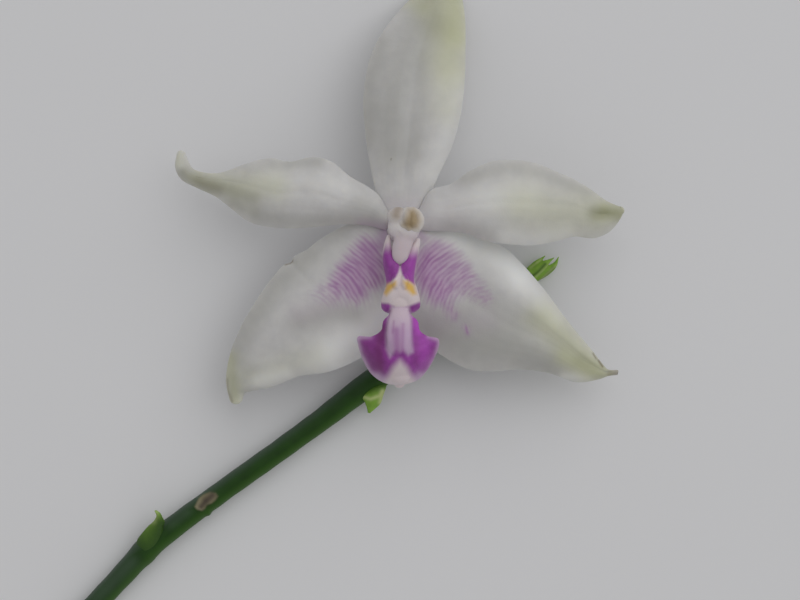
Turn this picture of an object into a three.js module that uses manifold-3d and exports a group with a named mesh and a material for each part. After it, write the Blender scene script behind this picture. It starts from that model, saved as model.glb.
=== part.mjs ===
// One moth-orchid flower on its cut flower stalk, lying face up. Millimetres, +Z up from the surface it
// lies on. The pieces are drawn in the flower's own axes: +X to the viewer's right, +Y along the dorsal
// sepal, +Z out of the face, with the flower's centre at zero. The last lines set that centre in its
// place above the surface.
import * as THREE from "three";
import { mergeVertices } from "three/addons/utils/BufferGeometryUtils.js";
import Module from "manifold-3d";

const wasm = await Module();
wasm.setup();

// Driving dimensions
const REST_HEIGHT = 7.5; // the flower's centre above the surface
const FLOOR = -REST_HEIGHT;
const CENTRE = new THREE.Vector3(6.46, 8.24, REST_HEIGHT); // the flower's centre from the part's origin

const TEPAL_THICKNESS = 0.9;
const TEPAL_EDGE = 0.6;
const TEPAL_INSET = 0.12; // how far a tepal's middle surface ends inside its outline
const MIDLOBE_THICKNESS = 1.0;
const MIDLOBE_INSET = 0.25;
const LOBE_THICKNESS = 0.75; // the two side lobes of the lip
const LOBE_INSET = 0.15;
const BRACT_THICKNESS = 0.65;
const NARROWEST = 0.3; // least share of a blade's width that its inset leaves

const STEM_ARCH = 0.5; // how far the middle of the stem stands off the surface
const DISH_RADIUS = 1.0; // the hollow at the column's end that holds the anther cap
const DISH_RIM = 1.15; // inner edge of the hood's flat rim
const DISH_DEPTH = 0.55;

// Grid of each blade: cells along it and cells across it
const TEPAL_GRID = [24, 10];
const LOBE_GRID = [16, 8];
const MIDLOBE_GRID = [22, 10];
const BRACT_GRID = [8, 6];

// Colours
const PETAL_WHITE = new THREE.MeshStandardMaterial({ color: 0xe9e8e2, roughness: 0.6, metalness: 0 });
const COLUMN_WHITE = new THREE.MeshStandardMaterial({ color: 0xe6dde0, roughness: 0.5, metalness: 0 });
const CAP_TAN = new THREE.MeshStandardMaterial({ color: 0xa8905a, roughness: 0.5, metalness: 0 });
const LIP_PURPLE = new THREE.MeshStandardMaterial({ color: 0x94419a, roughness: 0.5, metalness: 0 });
const STALK_GREEN = new THREE.MeshStandardMaterial({ color: 0x2c4a22, roughness: 0.45, metalness: 0 });
const BRACT_GREEN = new THREE.MeshStandardMaterial({ color: 0x6f8f3a, roughness: 0.55, metalness: 0 });

// Value at t (0 to 1) of a smooth curve through evenly spaced values.
function smooth(values, t) {
  const place = Math.min(Math.max(t, 0), 1) * (values.length - 1);
  const i = Math.min(Math.floor(place), values.length - 2);
  const f = place - i;
  const before = values[Math.max(i - 1, 0)];
  const after = values[Math.min(i + 2, values.length - 1)];
  const [a, b] = [values[i], values[i + 1]];
  const slopeA = (b - before) / 2;
  const slopeB = (after - a) / 2;
  const f2 = f * f;
  const f3 = f2 * f;
  const rise = 3 * f2 - 2 * f3;
  return (1 - rise) * a + rise * b + (f3 - 2 * f2 + f) * slopeA + (f3 - f2) * slopeB;
}

// Smooth curve through [x, y] or [x, y, z] points.
function curveThrough(points) {
  return new THREE.CatmullRomCurve3(points.map(([x, y, z = 0]) => new THREE.Vector3(x, y, z)));
}

// Closed skin over a row of rings with equal numbers of points, capped by a fan at each end.
function skinOver(rings) {
  const count = rings[0].length;
  const vertices = rings.flat();
  const faces = [];
  for (let r = 0; r < rings.length - 1; r++) {
    for (let k = 0; k < count; k++) {
      const a = r * count + k;
      const b = r * count + ((k + 1) % count);
      faces.push(a, b, b + count, a, b + count, a + count);
    }
  }
  const middleOf = (ring) => ring.reduce((sum, p) => sum.add(p), new THREE.Vector3()).divideScalar(count);
  const first = vertices.push(middleOf(rings[0])) - 1;
  const last = vertices.push(middleOf(rings.at(-1))) - 1;
  const lastRing = (rings.length - 1) * count;
  for (let k = 0; k < count; k++) {
    const next = (k + 1) % count;
    faces.push(first, next, k);
    faces.push(last, lastRing + k, lastRing + next);
  }
  const geometry = new THREE.BufferGeometry().setFromPoints(vertices);
  return geometry.setIndex(faces);
}

// Thin blade over a surface given as place(t, s), with t from base to tip and s from -1 to 1 across it.
// Both faces are split into the same triangles, and the under face stops at the floor.
function bladeOver(place, thickness, edge, [cellsAlong, cellsAcross], floor = -Infinity) {
  const step = 1e-3;
  const normalAt = (t, s) => {
    const along = place(Math.min(t + step, 1), s).sub(place(Math.max(t - step, 0), s));
    const across = place(t, Math.min(s + step, 1)).sub(place(t, Math.max(s - step, -1)));
    return across.cross(along).normalize();
  };
  const rings = [];
  for (let i = 0; i <= cellsAlong; i++) {
    const t = i / cellsAlong;
    const upper = [];
    const lower = [];
    for (let j = 0; j <= cellsAcross; j++) {
      const s = -1 + (2 * j) / cellsAcross;
      const half = (thickness + (edge - thickness) * s * s) / 2;
      const middle = place(t, s);
      const offset = normalAt(t, s).multiplyScalar(half);
      upper.push(middle.clone().add(offset));
      const under = middle.clone().sub(offset);
      under.z = Math.max(under.z, floor);
      lower.push(under);
    }
    rings.push([...upper, ...lower.reverse()]);
  }
  return skinOver(rings);
}

// Surface between two edges seen from the front. Each edge is a curve of [x, y] points from base to tip,
// left and right as seen from the base with the face up, and the surface ends inset from them. The ridge
// between them has its own heights, and each edge falls away from it. bow slides the middle of each cross
// line towards the tip, and wave lifts or sinks any place.
function faceBetween(shape) {
  const { left, right, ridge, fallLeft, fallRight, inset, power = 2, bow = [0, 0], wave = () => 0 } = shape;
  const leftEdge = curveThrough(left);
  const rightEdge = curveThrough(right);
  return (t, s) => {
    const a = leftEdge.getPointAt(t);
    const b = rightEdge.getPointAt(t);
    const axis = b.clone().sub(a);
    const ahead = new THREE.Vector3(-axis.y, axis.x, 0).normalize();
    const reach = Math.max(1 - (2 * inset) / axis.length(), NARROWEST);
    const point = a.lerp(b, (reach * s + 1) / 2);
    point.addScaledVector(ahead, smooth(bow, t) * (1 - s * s));
    const fall = smooth(s < 0 ? fallLeft : fallRight, t);
    point.z = smooth(ridge, t) - fall * Math.abs(s) ** power + wave(t, s);
    return point;
  };
}

// Round or oval tube along a curve, with its radii at evenly spaced places.
function tubeAlong(points, radii, steps, sides, flat = 1) {
  const curve = curveThrough(points);
  const frames = curve.computeFrenetFrames(steps, false);
  const rings = [];
  for (let i = 0; i <= steps; i++) {
    const radius = smooth(radii, i / steps);
    const middle = curve.getPointAt(i / steps);
    const ring = [];
    for (let k = 0; k < sides; k++) {
      const angle = (2 * Math.PI * k) / sides;
      const offset = frames.normals[i].clone().multiplyScalar(radius * Math.cos(angle));
      offset.addScaledVector(frames.binormals[i], flat * radius * Math.sin(angle));
      ring.push(offset.add(middle));
    }
    rings.push(ring);
  }
  return skinOver(rings);
}

// Solid of a closed geometry, for joining and cutting.
function solidOf(geometry) {
  const merged = mergeVertices(geometry, 1e-5);
  return new wasm.Manifold(
    new wasm.Mesh({
      numProp: 3,
      vertProperties: merged.attributes.position.array,
      triVerts: new Uint32Array(merged.index.array),
    }),
  );
}

// Geometry of a solid.
function geometryOf(solid) {
  const mesh = solid.getMesh();
  const geometry = new THREE.BufferGeometry();
  geometry.setAttribute("position", new THREE.BufferAttribute(mesh.vertProperties, 3));
  return geometry.setIndex(new THREE.BufferAttribute(mesh.triVerts, 1));
}

// One solid grown from several overlapping shapes.
function grownTogether(geometries) {
  return geometryOf(geometries.map(solidOf).reduce((whole, next) => whole.add(next)));
}

// Rounded lump: a sphere stretched to half sizes, at a place.
function lump([x, y, z], [halfX, halfY, halfZ], segments = 14) {
  const ball = new THREE.SphereGeometry(1, segments, segments / 2);
  ball.deleteAttribute("normal");
  ball.deleteAttribute("uv");
  ball.scale(halfX, halfY, halfZ).translate(x, y, z);
  return mergeVertices(ball, 1e-5);
}

// Tepals: three sepals behind, two petals in front of them. They meet round the foot of the column.
function tepal(shape, floor) {
  const face = faceBetween({ ...shape, inset: TEPAL_INSET });
  return bladeOver(face, TEPAL_THICKNESS, TEPAL_EDGE, TEPAL_GRID, floor);
}

// Broad and ridged, and bent back until its tip rests on the surface by a small flat spot.
function dorsalSepal() {
  return tepal(
    {
      left: [
        [-1.4, 1.65], [-2.3, 3.4], [-2.9, 5.9], [-3.5, 9.8], [-3.65, 13.4], [-3.1, 16.8], [-2.1, 19.2],
        [-0.2, 22.0], [1.9, 24.3], [4.3, 26.0],
      ],
      right: [
        [1.8, 1.65], [3.2, 3.8], [4.1, 5.8], [5.1, 7.9], [6.1, 11.5], [6.5, 15.0], [6.6, 18.2],
        [6.6, 21.6], [6.2, 24.0], [4.9, 26.1],
      ],
      ridge: [-0.5, -0.1, 0.45, 0.75, 0.65, 0.0, -1.4, -3.7, -6.4, -7.25],
      fallLeft: [0.3, 0.8, 1.3, 1.6, 1.6, 1.4, 1.1, 0.8, 0.4, 0.1],
      fallRight: [0.3, 0.7, 1.1, 1.3, 1.3, 1.2, 1.0, 0.7, 0.4, 0.1],
    },
    FLOOR,
  );
}

// Narrow, with a wavy upper margin, a pinched neck and a tip that hooks upwards.
function leftPetal() {
  const ruffleHeight = 0.3;
  const ruffleTurns = 3.5;
  const rufflePhase = 0.1;
  const ruffle = (t, s) => {
    const swing = Math.sin(2 * Math.PI * (ruffleTurns * t + rufflePhase));
    return ruffleHeight * swing * Math.sin(Math.PI * t) * Math.max(s, 0) ** 2;
  };
  return tepal({
    left: [
      [-1.7, -0.1], [-3.4, 0.3], [-6.3, 0.35], [-9.7, 0.0], [-12.5, 0.05], [-15.0, 0.6], [-16.6, 1.75],
      [-18.5, 3.2], [-20.4, 4.1], [-22.0, 5.0], [-22.5, 6.2], [-22.1, 7.75],
    ],
    right: [
      [-1.3, 1.75], [-2.3, 3.5], [-3.3, 4.3], [-5.0, 4.85], [-6.7, 6.5], [-8.6, 7.05], [-11.0, 6.6],
      [-12.9, 6.95], [-15.7, 6.3], [-18.0, 5.5], [-19.6, 5.55], [-20.8, 6.0], [-21.7, 7.75],
    ],
    ridge: [0.75, 1.15, 1.7, 1.9, 1.7, 1.1, 0.1, -0.9, -0.9],
    fallLeft: [0.2, 0.5, 0.9, 1.3, 1.5, 1.3, 0.9, 0.5, 0.2],
    fallRight: [0.2, 0.5, 0.7, 0.8, 0.8, 0.7, 0.6, 0.3, 0.1],
    wave: ruffle,
  });
}

// Narrow, smooth and broad in the middle, with a hollow fold just before its blunt tip.
function rightPetal() {
  const foldDepth = 0.7;
  const foldPlace = 0.93; // share of the length
  const foldLength = 0.05;
  const foldWidth = 0.55; // share of the half width
  const fold = (t, s) => {
    const off = ((t - foldPlace) / foldLength) ** 2 + (s / foldWidth) ** 2;
    return -foldDepth * Math.exp(-off);
  };
  return tepal({
    left: [
      [1.9, 1.75], [3.1, 3.75], [5.0, 4.35], [7.0, 5.65], [9.0, 6.55], [11.0, 6.8], [13.3, 6.5],
      [15.4, 5.7], [17.3, 4.9], [19.0, 3.9], [20.6, 2.75], [22.0, 2.1],
    ],
    right: [
      [1.8, -0.2], [4.0, -0.3], [6.4, -0.5], [8.6, -1.3], [11.0, -1.65], [13.1, -1.75], [15.5, -1.35],
      [17.4, -0.85], [19.4, -1.0], [20.9, -0.4], [21.9, 0.7], [22.3, 1.5],
    ],
    ridge: [0.75, 1.2, 1.8, 2.1, 2.0, 1.6, 0.9, 0.1, -0.8],
    fallLeft: [0.2, 0.5, 0.8, 1.1, 1.2, 1.1, 0.9, 0.6, 0.2],
    fallRight: [0.2, 0.6, 1.0, 1.2, 1.3, 1.2, 0.9, 0.6, 0.2],
    wave: fold,
  });
}

// Broad, sickle-shaped, and notched on its outer margin.
function leftLateralSepal() {
  return tepal({
    left: [
      [-0.45, -3.3], [-0.4, -6.2], [-0.8, -9.2], [-2.1, -11.6], [-4.75, -13.45], [-7.6, -14.5],
      [-9.95, -14.8], [-12.8, -15.85], [-15.3, -16.3], [-15.85, -17.2], [-16.5, -17.6],
    ],
    right: [
      [-1.7, 0.6], [-3.6, 0.9], [-5.7, 0.2], [-8.0, -1.0], [-10.4, -2.5], [-11.1, -3.35], [-13.0, -5.2],
      [-15.4, -8.8], [-16.9, -12.0], [-17.5, -15.0], [-17.25, -16.9], [-16.9, -17.4],
    ],
    ridge: [-0.55, -0.6, -0.5, -0.3, -0.2, -0.3, -0.8, -1.6, -2.6],
    fallLeft: [0.2, 0.4, 0.8, 1.0, 1.0, 0.9, 0.8, 0.6, 0.2],
    fallRight: [0.3, 0.8, 1.1, 1.3, 1.4, 1.4, 1.2, 0.8, 0.2],
  });
}

// Broad, with its outer margin rolled well back and a small spike at its tip.
function rightLateralSepal() {
  return tepal({
    left: [
      [1.95, 0.3], [3.2, 0.3], [5.4, -0.15], [8.0, -0.95], [10.5, -1.95], [12.1, -3.4], [14.7, -6.4],
      [17.0, -9.5], [19.4, -12.4], [20.3, -13.6], [21.2, -14.4],
    ],
    right: [
      [0.6, -3.3], [0.35, -6.2], [0.9, -9.2], [2.2, -11.4], [3.95, -12.6], [6.8, -14.1], [9.3, -14.35],
      [11.9, -14.15], [14.9, -14.5], [17.8, -15.45], [20.1, -15.1], [21.1, -14.75],
    ],
    ridge: [-0.55, -0.6, -0.4, -0.1, 0.0, -0.2, -0.8, -1.7, -2.7],
    fallLeft: [0.3, 0.9, 1.6, 2.1, 2.3, 2.1, 1.6, 0.9, 0.2],
    fallRight: [0.2, 0.4, 0.8, 1.1, 1.2, 1.1, 0.9, 0.6, 0.2],
    power: 2.6,
  });
}

// Column: a short thick post that leans up and forward. Its end is a hood round a dish, and its foot runs
// down its front as a tongue to where the lip is hinged.
const COLUMN_END = [1.05, 0.65, 4.9];

function column() {
  const post = curveThrough([
    [0.15, 0.0, -1.3], [0.15, 0.0, 0.2], [0.4, 0.1, 2.2], [0.8, 0.4, 3.8], COLUMN_END,
  ]);
  const radii = [1.2, 1.25, 1.15, 1.1, 1.15, 1.3, 1.4, 1.4];
  const steps = 12;
  const sides = 16;
  const frames = post.computeFrenetFrames(steps, false);
  const rings = [];
  const ringAt = (i, radius, sink) => {
    const middle = post.getPointAt(i / steps).addScaledVector(frames.tangents[i], -sink);
    return Array.from({ length: sides }, (_, k) => {
      const angle = (2 * Math.PI * k) / sides;
      const offset = frames.normals[i].clone().multiplyScalar(radius * Math.cos(angle));
      return offset.addScaledVector(frames.binormals[i], radius * Math.sin(angle)).add(middle);
    });
  };
  for (let i = 0; i <= steps; i++) rings.push(ringAt(i, smooth(radii, i / steps), 0));
  rings.push(ringAt(steps, DISH_RIM, 0));
  rings.push(ringAt(steps, DISH_RADIUS, 0.7 * DISH_DEPTH));
  rings.push(ringAt(steps, 0.6 * DISH_RADIUS, DISH_DEPTH));
  const foot = tubeAlong([[0.35, -0.2, 2.6], [0.3, -1.3, 2.3], [0.15, -2.3, 1.6], [0.0, -3.1, 1.0]],
    [1.0, 0.95, 0.85, 0.55], 8, 12, 0.75);
  return grownTogether([skinOver(rings), foot]);
}

// Anther cap: a small helmet with a beak, held in the dish.
function antherCap() {
  const [x, y, z] = COLUMN_END;
  const cap = lump([x - 0.1, y + 0.08, z + 0.42], [0.66, 0.76, 0.4], 16);
  const beak = lump([x - 0.2, y - 0.72, z + 0.68], [0.26, 0.5, 0.22], 10);
  return grownTogether([cap, beak]);
}

// Lip: a claw on the column's foot, two erect lobes that meet over the callus, and an anchor-shaped
// midlobe.
function lip() {
  const leftLobe = bladeOver(
    faceBetween({
      left: [
        [0.3, -8.2], [0.3, -6.2], [0.3, -4.4], [-0.15, -3.8], [-0.6, -3.3], [-0.85, -2.6], [-0.95, -1.6],
        [-1.0, -0.85],
      ],
      right: [
        [-1.0, -8.5], [-1.75, -8.1], [-1.8, -7.3], [-1.6, -6.6], [-1.3, -5.6], [-1.45, -4.5],
        [-1.55, -3.2], [-1.4, -1.8], [-1.2, -0.85],
      ],
      ridge: [3.1, 3.6, 4.0, 4.0, 3.9, 3.8, 3.6, 3.3, 3.1],
      fallLeft: [0.0, -0.1, -0.2, -0.2, 0.0, 0.1, 0.2, 0.1, 0.0],
      fallRight: [0.5, 0.9, 1.1, 1.1, 1.2, 1.2, 0.9, 0.5, 0.1],
      inset: LOBE_INSET,
    }),
    LOBE_THICKNESS, TEPAL_EDGE, LOBE_GRID,
  );
  const rightLobe = bladeOver(
    faceBetween({
      left: [
        [0.9, -8.5], [1.85, -8.1], [1.95, -7.3], [1.7, -6.3], [1.3, -5.1], [1.45, -4.2], [1.6, -2.9],
        [1.8, -1.8], [1.85, -1.15],
      ],
      right: [
        [-0.3, -8.2], [-0.3, -6.2], [-0.3, -4.4], [0.15, -3.8], [0.5, -3.3], [0.9, -2.6], [1.3, -1.8],
        [1.6, -1.25],
      ],
      ridge: [3.1, 3.6, 4.0, 4.0, 3.9, 3.8, 3.6, 3.3, 3.1],
      fallLeft: [0.5, 0.9, 1.1, 1.1, 1.2, 1.2, 0.9, 0.5, 0.1],
      fallRight: [0.0, -0.1, -0.2, -0.2, 0.0, 0.1, 0.2, 0.1, 0.0],
      inset: LOBE_INSET,
    }),
    LOBE_THICKNESS, TEPAL_EDGE, LOBE_GRID,
  );
  const midlobe = bladeOver(
    faceBetween({
      left: [
        [0.9, -8.0], [1.1, -8.7], [1.75, -9.3], [1.95, -10.2], [2.7, -10.75], [3.8, -11.05],
        [3.75, -11.7], [3.4, -12.7], [2.7, -14.1], [1.8, -15.1], [0.45, -15.85],
      ],
      right: [
        [-0.9, -8.0], [-1.1, -8.7], [-1.65, -9.3], [-1.85, -10.2], [-2.8, -10.8], [-4.2, -10.85],
        [-4.15, -11.6], [-3.7, -13.0], [-2.9, -14.4], [-1.7, -15.5], [-0.55, -15.95],
      ],
      ridge: [3.3, 3.8, 4.3, 4.6, 4.6, 4.2, 3.6, 2.9, 2.2],
      fallLeft: [0.3, 0.6, 1.0, 1.5, 1.9, 1.9, 1.5, 0.8, 0.1],
      fallRight: [0.3, 0.6, 1.0, 1.5, 1.9, 1.9, 1.5, 0.8, 0.1],
      bow: [0.1, 0.3, 0.9, 1.4, 1.5, 1.1, 0.6, 0.2, 0],
      inset: MIDLOBE_INSET,
    }),
    MIDLOBE_THICKNESS, TEPAL_EDGE, MIDLOBE_GRID,
  );
  const keel = tubeAlong(
    [[0, -7.6, 3.2], [0, -8.8, 3.9], [0, -10.4, 4.6], [-0.05, -12.0, 4.7], [-0.05, -13.4, 4.1]],
    [0.8, 1.0, 1.2, 1.2, 0.9], 12, 12, 0.6,
  );
  const cushion = lump([0, -14.4, 3.35], [1.15, 1.4, 0.95], 16);
  const claw = tubeAlong([[0, -3.95, 1.1], [0, -4.7, 1.6], [0, -5.6, 2.4], [0, -6.6, 3.3]],
    [0.55, 0.7, 0.9, 1.0], 8, 10, 0.7);
  const callus = lump([0, -5.3, 4.1], [0.5, 1.0, 0.55], 12);
  const body = lump([0, -7.0, 3.3], [1.5, 1.5, 0.8], 14);
  return grownTogether([leftLobe, rightLobe, midlobe, keel, cushion, claw, callus, body]);
}

// Stem: the stalk that carried the flower, cut at its lower left end. Its two ends touch the surface.
const STEM_ROUTE = curveThrough([
  [-34.6, -42.0], [-28.8, -35.8], [-25.6, -32.4], [-21.8, -29.4], [-16.8, -25.8], [-11.9, -22.2],
  [-7.9, -19.45], [-2.9, -15.1], [4.4, -10.3], [12.9, -4.95],
]);
const STEM_LENGTH = STEM_ROUTE.getLength();
const STEM_RADII = [1.16, 1.12, 1.2, 1.1, 1.1, 1.12, 1.25, 1.15, 1.0, 0.85];

// Centre of the stem, and its radius, at a distance from the cut end.
function stemPoint(distance) {
  const t = Math.min(Math.max(distance / STEM_LENGTH, 0), 1);
  const point = STEM_ROUTE.getPointAt(t);
  point.z = FLOOR + smooth(STEM_RADII, t) + STEM_ARCH * Math.sin(Math.PI * t);
  return point;
}

function stemRadius(distance) {
  return smooth(STEM_RADII, distance / STEM_LENGTH);
}

function stem() {
  const steps = 40;
  const pointAt = (_, i) => stemPoint((STEM_LENGTH * i) / steps).toArray();
  const points = Array.from({ length: steps + 1 }, pointAt);
  return tubeAlong(points, STEM_RADII, steps, 12);
}

// Bract that clasps the stem at its base and lifts away from it to a point. turn is the side it grows on
// and wrap how far it reaches round to each side, both as angles, with turn from straight up to the
// stem's left.
function claspingBract({ from, length, turn, wrap, gap, lift }) {
  const nudge = 0.01;
  const place = (t, s) => {
    const distance = from + length * t;
    const along = stemPoint(distance + nudge).sub(stemPoint(distance - nudge)).normalize();
    const left = new THREE.Vector3(0, 0, 1).cross(along).normalize();
    const up = along.cross(left);
    const radius = stemRadius(distance) + gap + BRACT_THICKNESS / 2 + lift * t ** 2;
    const angle = turn - s * wrap * (1 - 0.95 * t ** 1.6);
    return stemPoint(distance)
      .addScaledVector(up, radius * Math.cos(angle))
      .addScaledVector(left, radius * Math.sin(angle));
  };
  return bladeOver(place, BRACT_THICKNESS, BRACT_THICKNESS, BRACT_GRID);
}

// Pointed bract along a spine, hollow on the side away from face, with its half widths at even places.
function pointedBract({ spine, face, halfWidths, cup }) {
  const curve = curveThrough(spine);
  const place = (t, s) => {
    const side = curve.getTangentAt(t).cross(face).normalize();
    const half = smooth(halfWidths, t);
    return curve.getPointAt(t).addScaledVector(side, half * s).addScaledVector(face, -cup * half * s * s);
  };
  return bladeOver(place, BRACT_THICKNESS, BRACT_THICKNESS, BRACT_GRID);
}

// Pedicel with the ovary: leaves the stem behind the flower and bends up to carry the sepals on its rim.
function pedicel() {
  return tubeAlong(
    [
      [4.15, -9.5, -4.75], [4.0, -9.2, -4.2], [4.2, -7.8, -3.8], [3.5, -5.0, -3.8], [1.7, -2.0, -3.8],
      [0.5, -0.5, -3.4], [0.15, 0.0, -2.6], [0.15, 0.0, -1.75],
    ],
    [0.95, 0.85, 0.8, 0.8, 0.85, 0.9, 1.05, 1.7], 24, 12,
  );
}

// Pointed bracts that close round the growing end of the stem.
function tipBracts() {
  const height = FLOOR + 1.0;
  const tooth = (points, radii) => tubeAlong(points.map(([x, y, z]) => [x, y, height + z]), radii, 8, 8);
  return grownTogether([
    tooth([[13.2, -4.4, 0], [13.9, -3.5, 0.2], [14.8, -2.7, 0.4]], [0.3, 0.4, 0.3, 0.1]),
    tooth([[13.3, -4.7, 0], [14.5, -3.7, 0.3], [15.7, -2.9, 0.3]], [0.5, 0.55, 0.4, 0.1]),
    tooth([[13.4, -5.0, 0], [15.0, -4.2, 0], [15.8, -3.6, 0], [16.2, -2.8, 0.1]], [0.45, 0.55, 0.4, 0.1]),
  ]);
}

// Every piece by name, with its colour.
const PIECES = {
  dorsal_sepal: [dorsalSepal(), PETAL_WHITE],
  lateral_sepal_left: [leftLateralSepal(), PETAL_WHITE],
  lateral_sepal_right: [rightLateralSepal(), PETAL_WHITE],
  petal_left: [leftPetal(), PETAL_WHITE],
  petal_right: [rightPetal(), PETAL_WHITE],
  column: [column(), COLUMN_WHITE],
  anther_cap: [antherCap(), CAP_TAN],
  lip: [lip(), LIP_PURPLE],
  pedicel: [pedicel(), STALK_GREEN],
  stem: [stem(), STALK_GREEN],
  sheath_bract: [
    claspingBract({ from: 12.6, length: 4.2, turn: 0.95, wrap: 1.05, gap: 0.48, lift: 0.75 }),
    BRACT_GREEN,
  ],
  floral_bract: [
    pointedBract({
      spine: [[-2.6, -16.95, -4.2], [-2.35, -17.75, -4.75], [-2.95, -18.75, -5.45]],
      face: new THREE.Vector3(0.48, -0.51, 0.71).normalize(),
      halfWidths: [1.2, 1.1, 0.7, 0.15],
      cup: 0.5,
    }),
    BRACT_GREEN,
  ],
  pedicel_bract: [
    pointedBract({
      spine: [[6.0, -11.0, -4.7], [6.8, -10.4, -4.3], [7.6, -9.4, -4.1]],
      face: new THREE.Vector3(0.4, -0.5, 0.75).normalize(),
      halfWidths: [0.9, 0.85, 0.5, 0.15],
      cup: 0.5,
    }),
    BRACT_GREEN,
  ],
  tip_bracts: [tipBracts(), BRACT_GREEN],
};

const flower = new THREE.Group();
for (const [name, [geometry, material]] of Object.entries(PIECES)) {
  const mesh = new THREE.Mesh(geometry, material);
  mesh.name = name;
  flower.add(mesh);
}
flower.position.copy(CENTRE);

export default flower;
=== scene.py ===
"""Moth-orchid flower on its cut stalk, lying face up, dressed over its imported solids.

Shapes are worked out in millimetres in the flower's own axes: +X to the viewer's right, +Y along the dorsal
sepal, +Z out of the face, with the flower's centre at zero. Finished meshes are in metres, in the frame's
axes.
"""

import logging
import math
from collections.abc import Callable, Sequence
from dataclasses import dataclass, field
from enum import Enum

import bmesh
import bpy
import numpy as np
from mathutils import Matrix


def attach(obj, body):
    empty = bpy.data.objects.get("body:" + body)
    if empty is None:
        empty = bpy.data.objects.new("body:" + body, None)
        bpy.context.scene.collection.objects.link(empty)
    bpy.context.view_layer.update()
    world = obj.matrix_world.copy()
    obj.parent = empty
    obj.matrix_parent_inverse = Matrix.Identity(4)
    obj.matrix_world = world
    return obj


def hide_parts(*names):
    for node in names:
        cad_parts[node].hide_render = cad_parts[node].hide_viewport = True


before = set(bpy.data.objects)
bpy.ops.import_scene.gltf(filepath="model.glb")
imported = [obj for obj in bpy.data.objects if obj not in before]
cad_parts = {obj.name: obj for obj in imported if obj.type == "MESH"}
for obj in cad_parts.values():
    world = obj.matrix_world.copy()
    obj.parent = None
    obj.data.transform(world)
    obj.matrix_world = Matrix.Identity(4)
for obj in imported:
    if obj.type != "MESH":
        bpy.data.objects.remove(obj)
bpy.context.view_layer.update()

logging.basicConfig(level=logging.INFO, format="%(message)s")
log = logging.getLogger("flower")

MM = 0.001
FLOWER_CENTRE = np.array([6.46, 8.24, 7.5])  # mm, in the frame's axes
FLOOR = -7.5  # the surface it lies on, mm below the flower's centre
ROOT = np.array([0.15, 0.0, -1.15])  # where the sepals and petals grow together, behind the column
UP = (0.0, 0.0, 1.0)
NUDGE = np.array([1e-9, 0.0, 0.0])  # gives a tube that runs straight up a direction across it
TINY = 1e-12  # keeps a division by zero away
THIN = 1e-6  # share of the thickness below which the two faces of a blade share a vertex
SAME_MM = 1e-4  # vertices closer than this are one
SAME_M = 1e-8

Pair = tuple[float, float]
Points = Sequence[Sequence[float]]
Shell = tuple[np.ndarray, list[tuple[int, ...]]]
Shares = dict[str, np.ndarray]
Marks = Callable[[np.ndarray], Shares]


class Slot(Enum):
    """Material slots of the record."""

    PETAL = "petal_white"
    COLUMN = "column_white"
    CAP = "cap_tan"
    LIP = "lip_purple"
    STALK = "stalk_green"
    BRACT = "bract_green"


def to_frame(points: np.ndarray) -> np.ndarray:
    """Points in the flower's axes, in mm, as points in the frame's axes, in metres."""
    return (np.asarray(points, float) + FLOWER_CENTRE) * MM


def ease(x: np.ndarray, low: float, high: float) -> np.ndarray:
    """Smooth step of x from 0 at low to 1 at high."""
    k = np.clip((np.asarray(x, float) - low) / (high - low), 0.0, 1.0)
    return k * k * (3.0 - 2.0 * k)


def stretch(t: np.ndarray, start: Pair, end: Pair) -> np.ndarray:
    """1 between start and end, easing in over start's two values and out over end's."""
    return ease(t, *start) * (1 - ease(t, *end))


def bell(x: np.ndarray, width: float) -> np.ndarray:
    """Bell curve of x, 1 at zero."""
    return np.exp(-((x / width) ** 2))


def unit(v: np.ndarray) -> np.ndarray:
    """Vectors scaled to length 1."""
    return v / np.maximum(np.linalg.norm(v, axis=-1, keepdims=True), TINY)


def nearest_of(places: np.ndarray, line: np.ndarray) -> np.ndarray:
    """Index of the point of a line that is nearest to each place."""
    return np.argmin(((places[:, None] - line[None]) ** 2).sum(axis=2), axis=1)


def smooth(values: Sequence[float], t: np.ndarray) -> np.ndarray:
    """Smooth curve through evenly spaced values.

    Args:
        values: the values from t = 0 to t = 1.
        t: places along them, held within 0 and 1.

    Returns:
        The curve's value at each t.
    """
    v = np.asarray(values, float)
    place = np.clip(t, 0.0, 1.0) * (len(v) - 1)
    i = np.minimum(place.astype(int), len(v) - 2)
    f = place - i
    a, b = v[i], v[i + 1]
    slope_a = (b - v[np.maximum(i - 1, 0)]) / 2
    slope_b = (v[np.minimum(i + 2, len(v) - 1)] - a) / 2
    rise = 3 * f**2 - 2 * f**3
    return (1 - rise) * a + rise * b + (f**3 - 2 * f**2 + f) * slope_a + (f**3 - f**2) * slope_b


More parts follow.
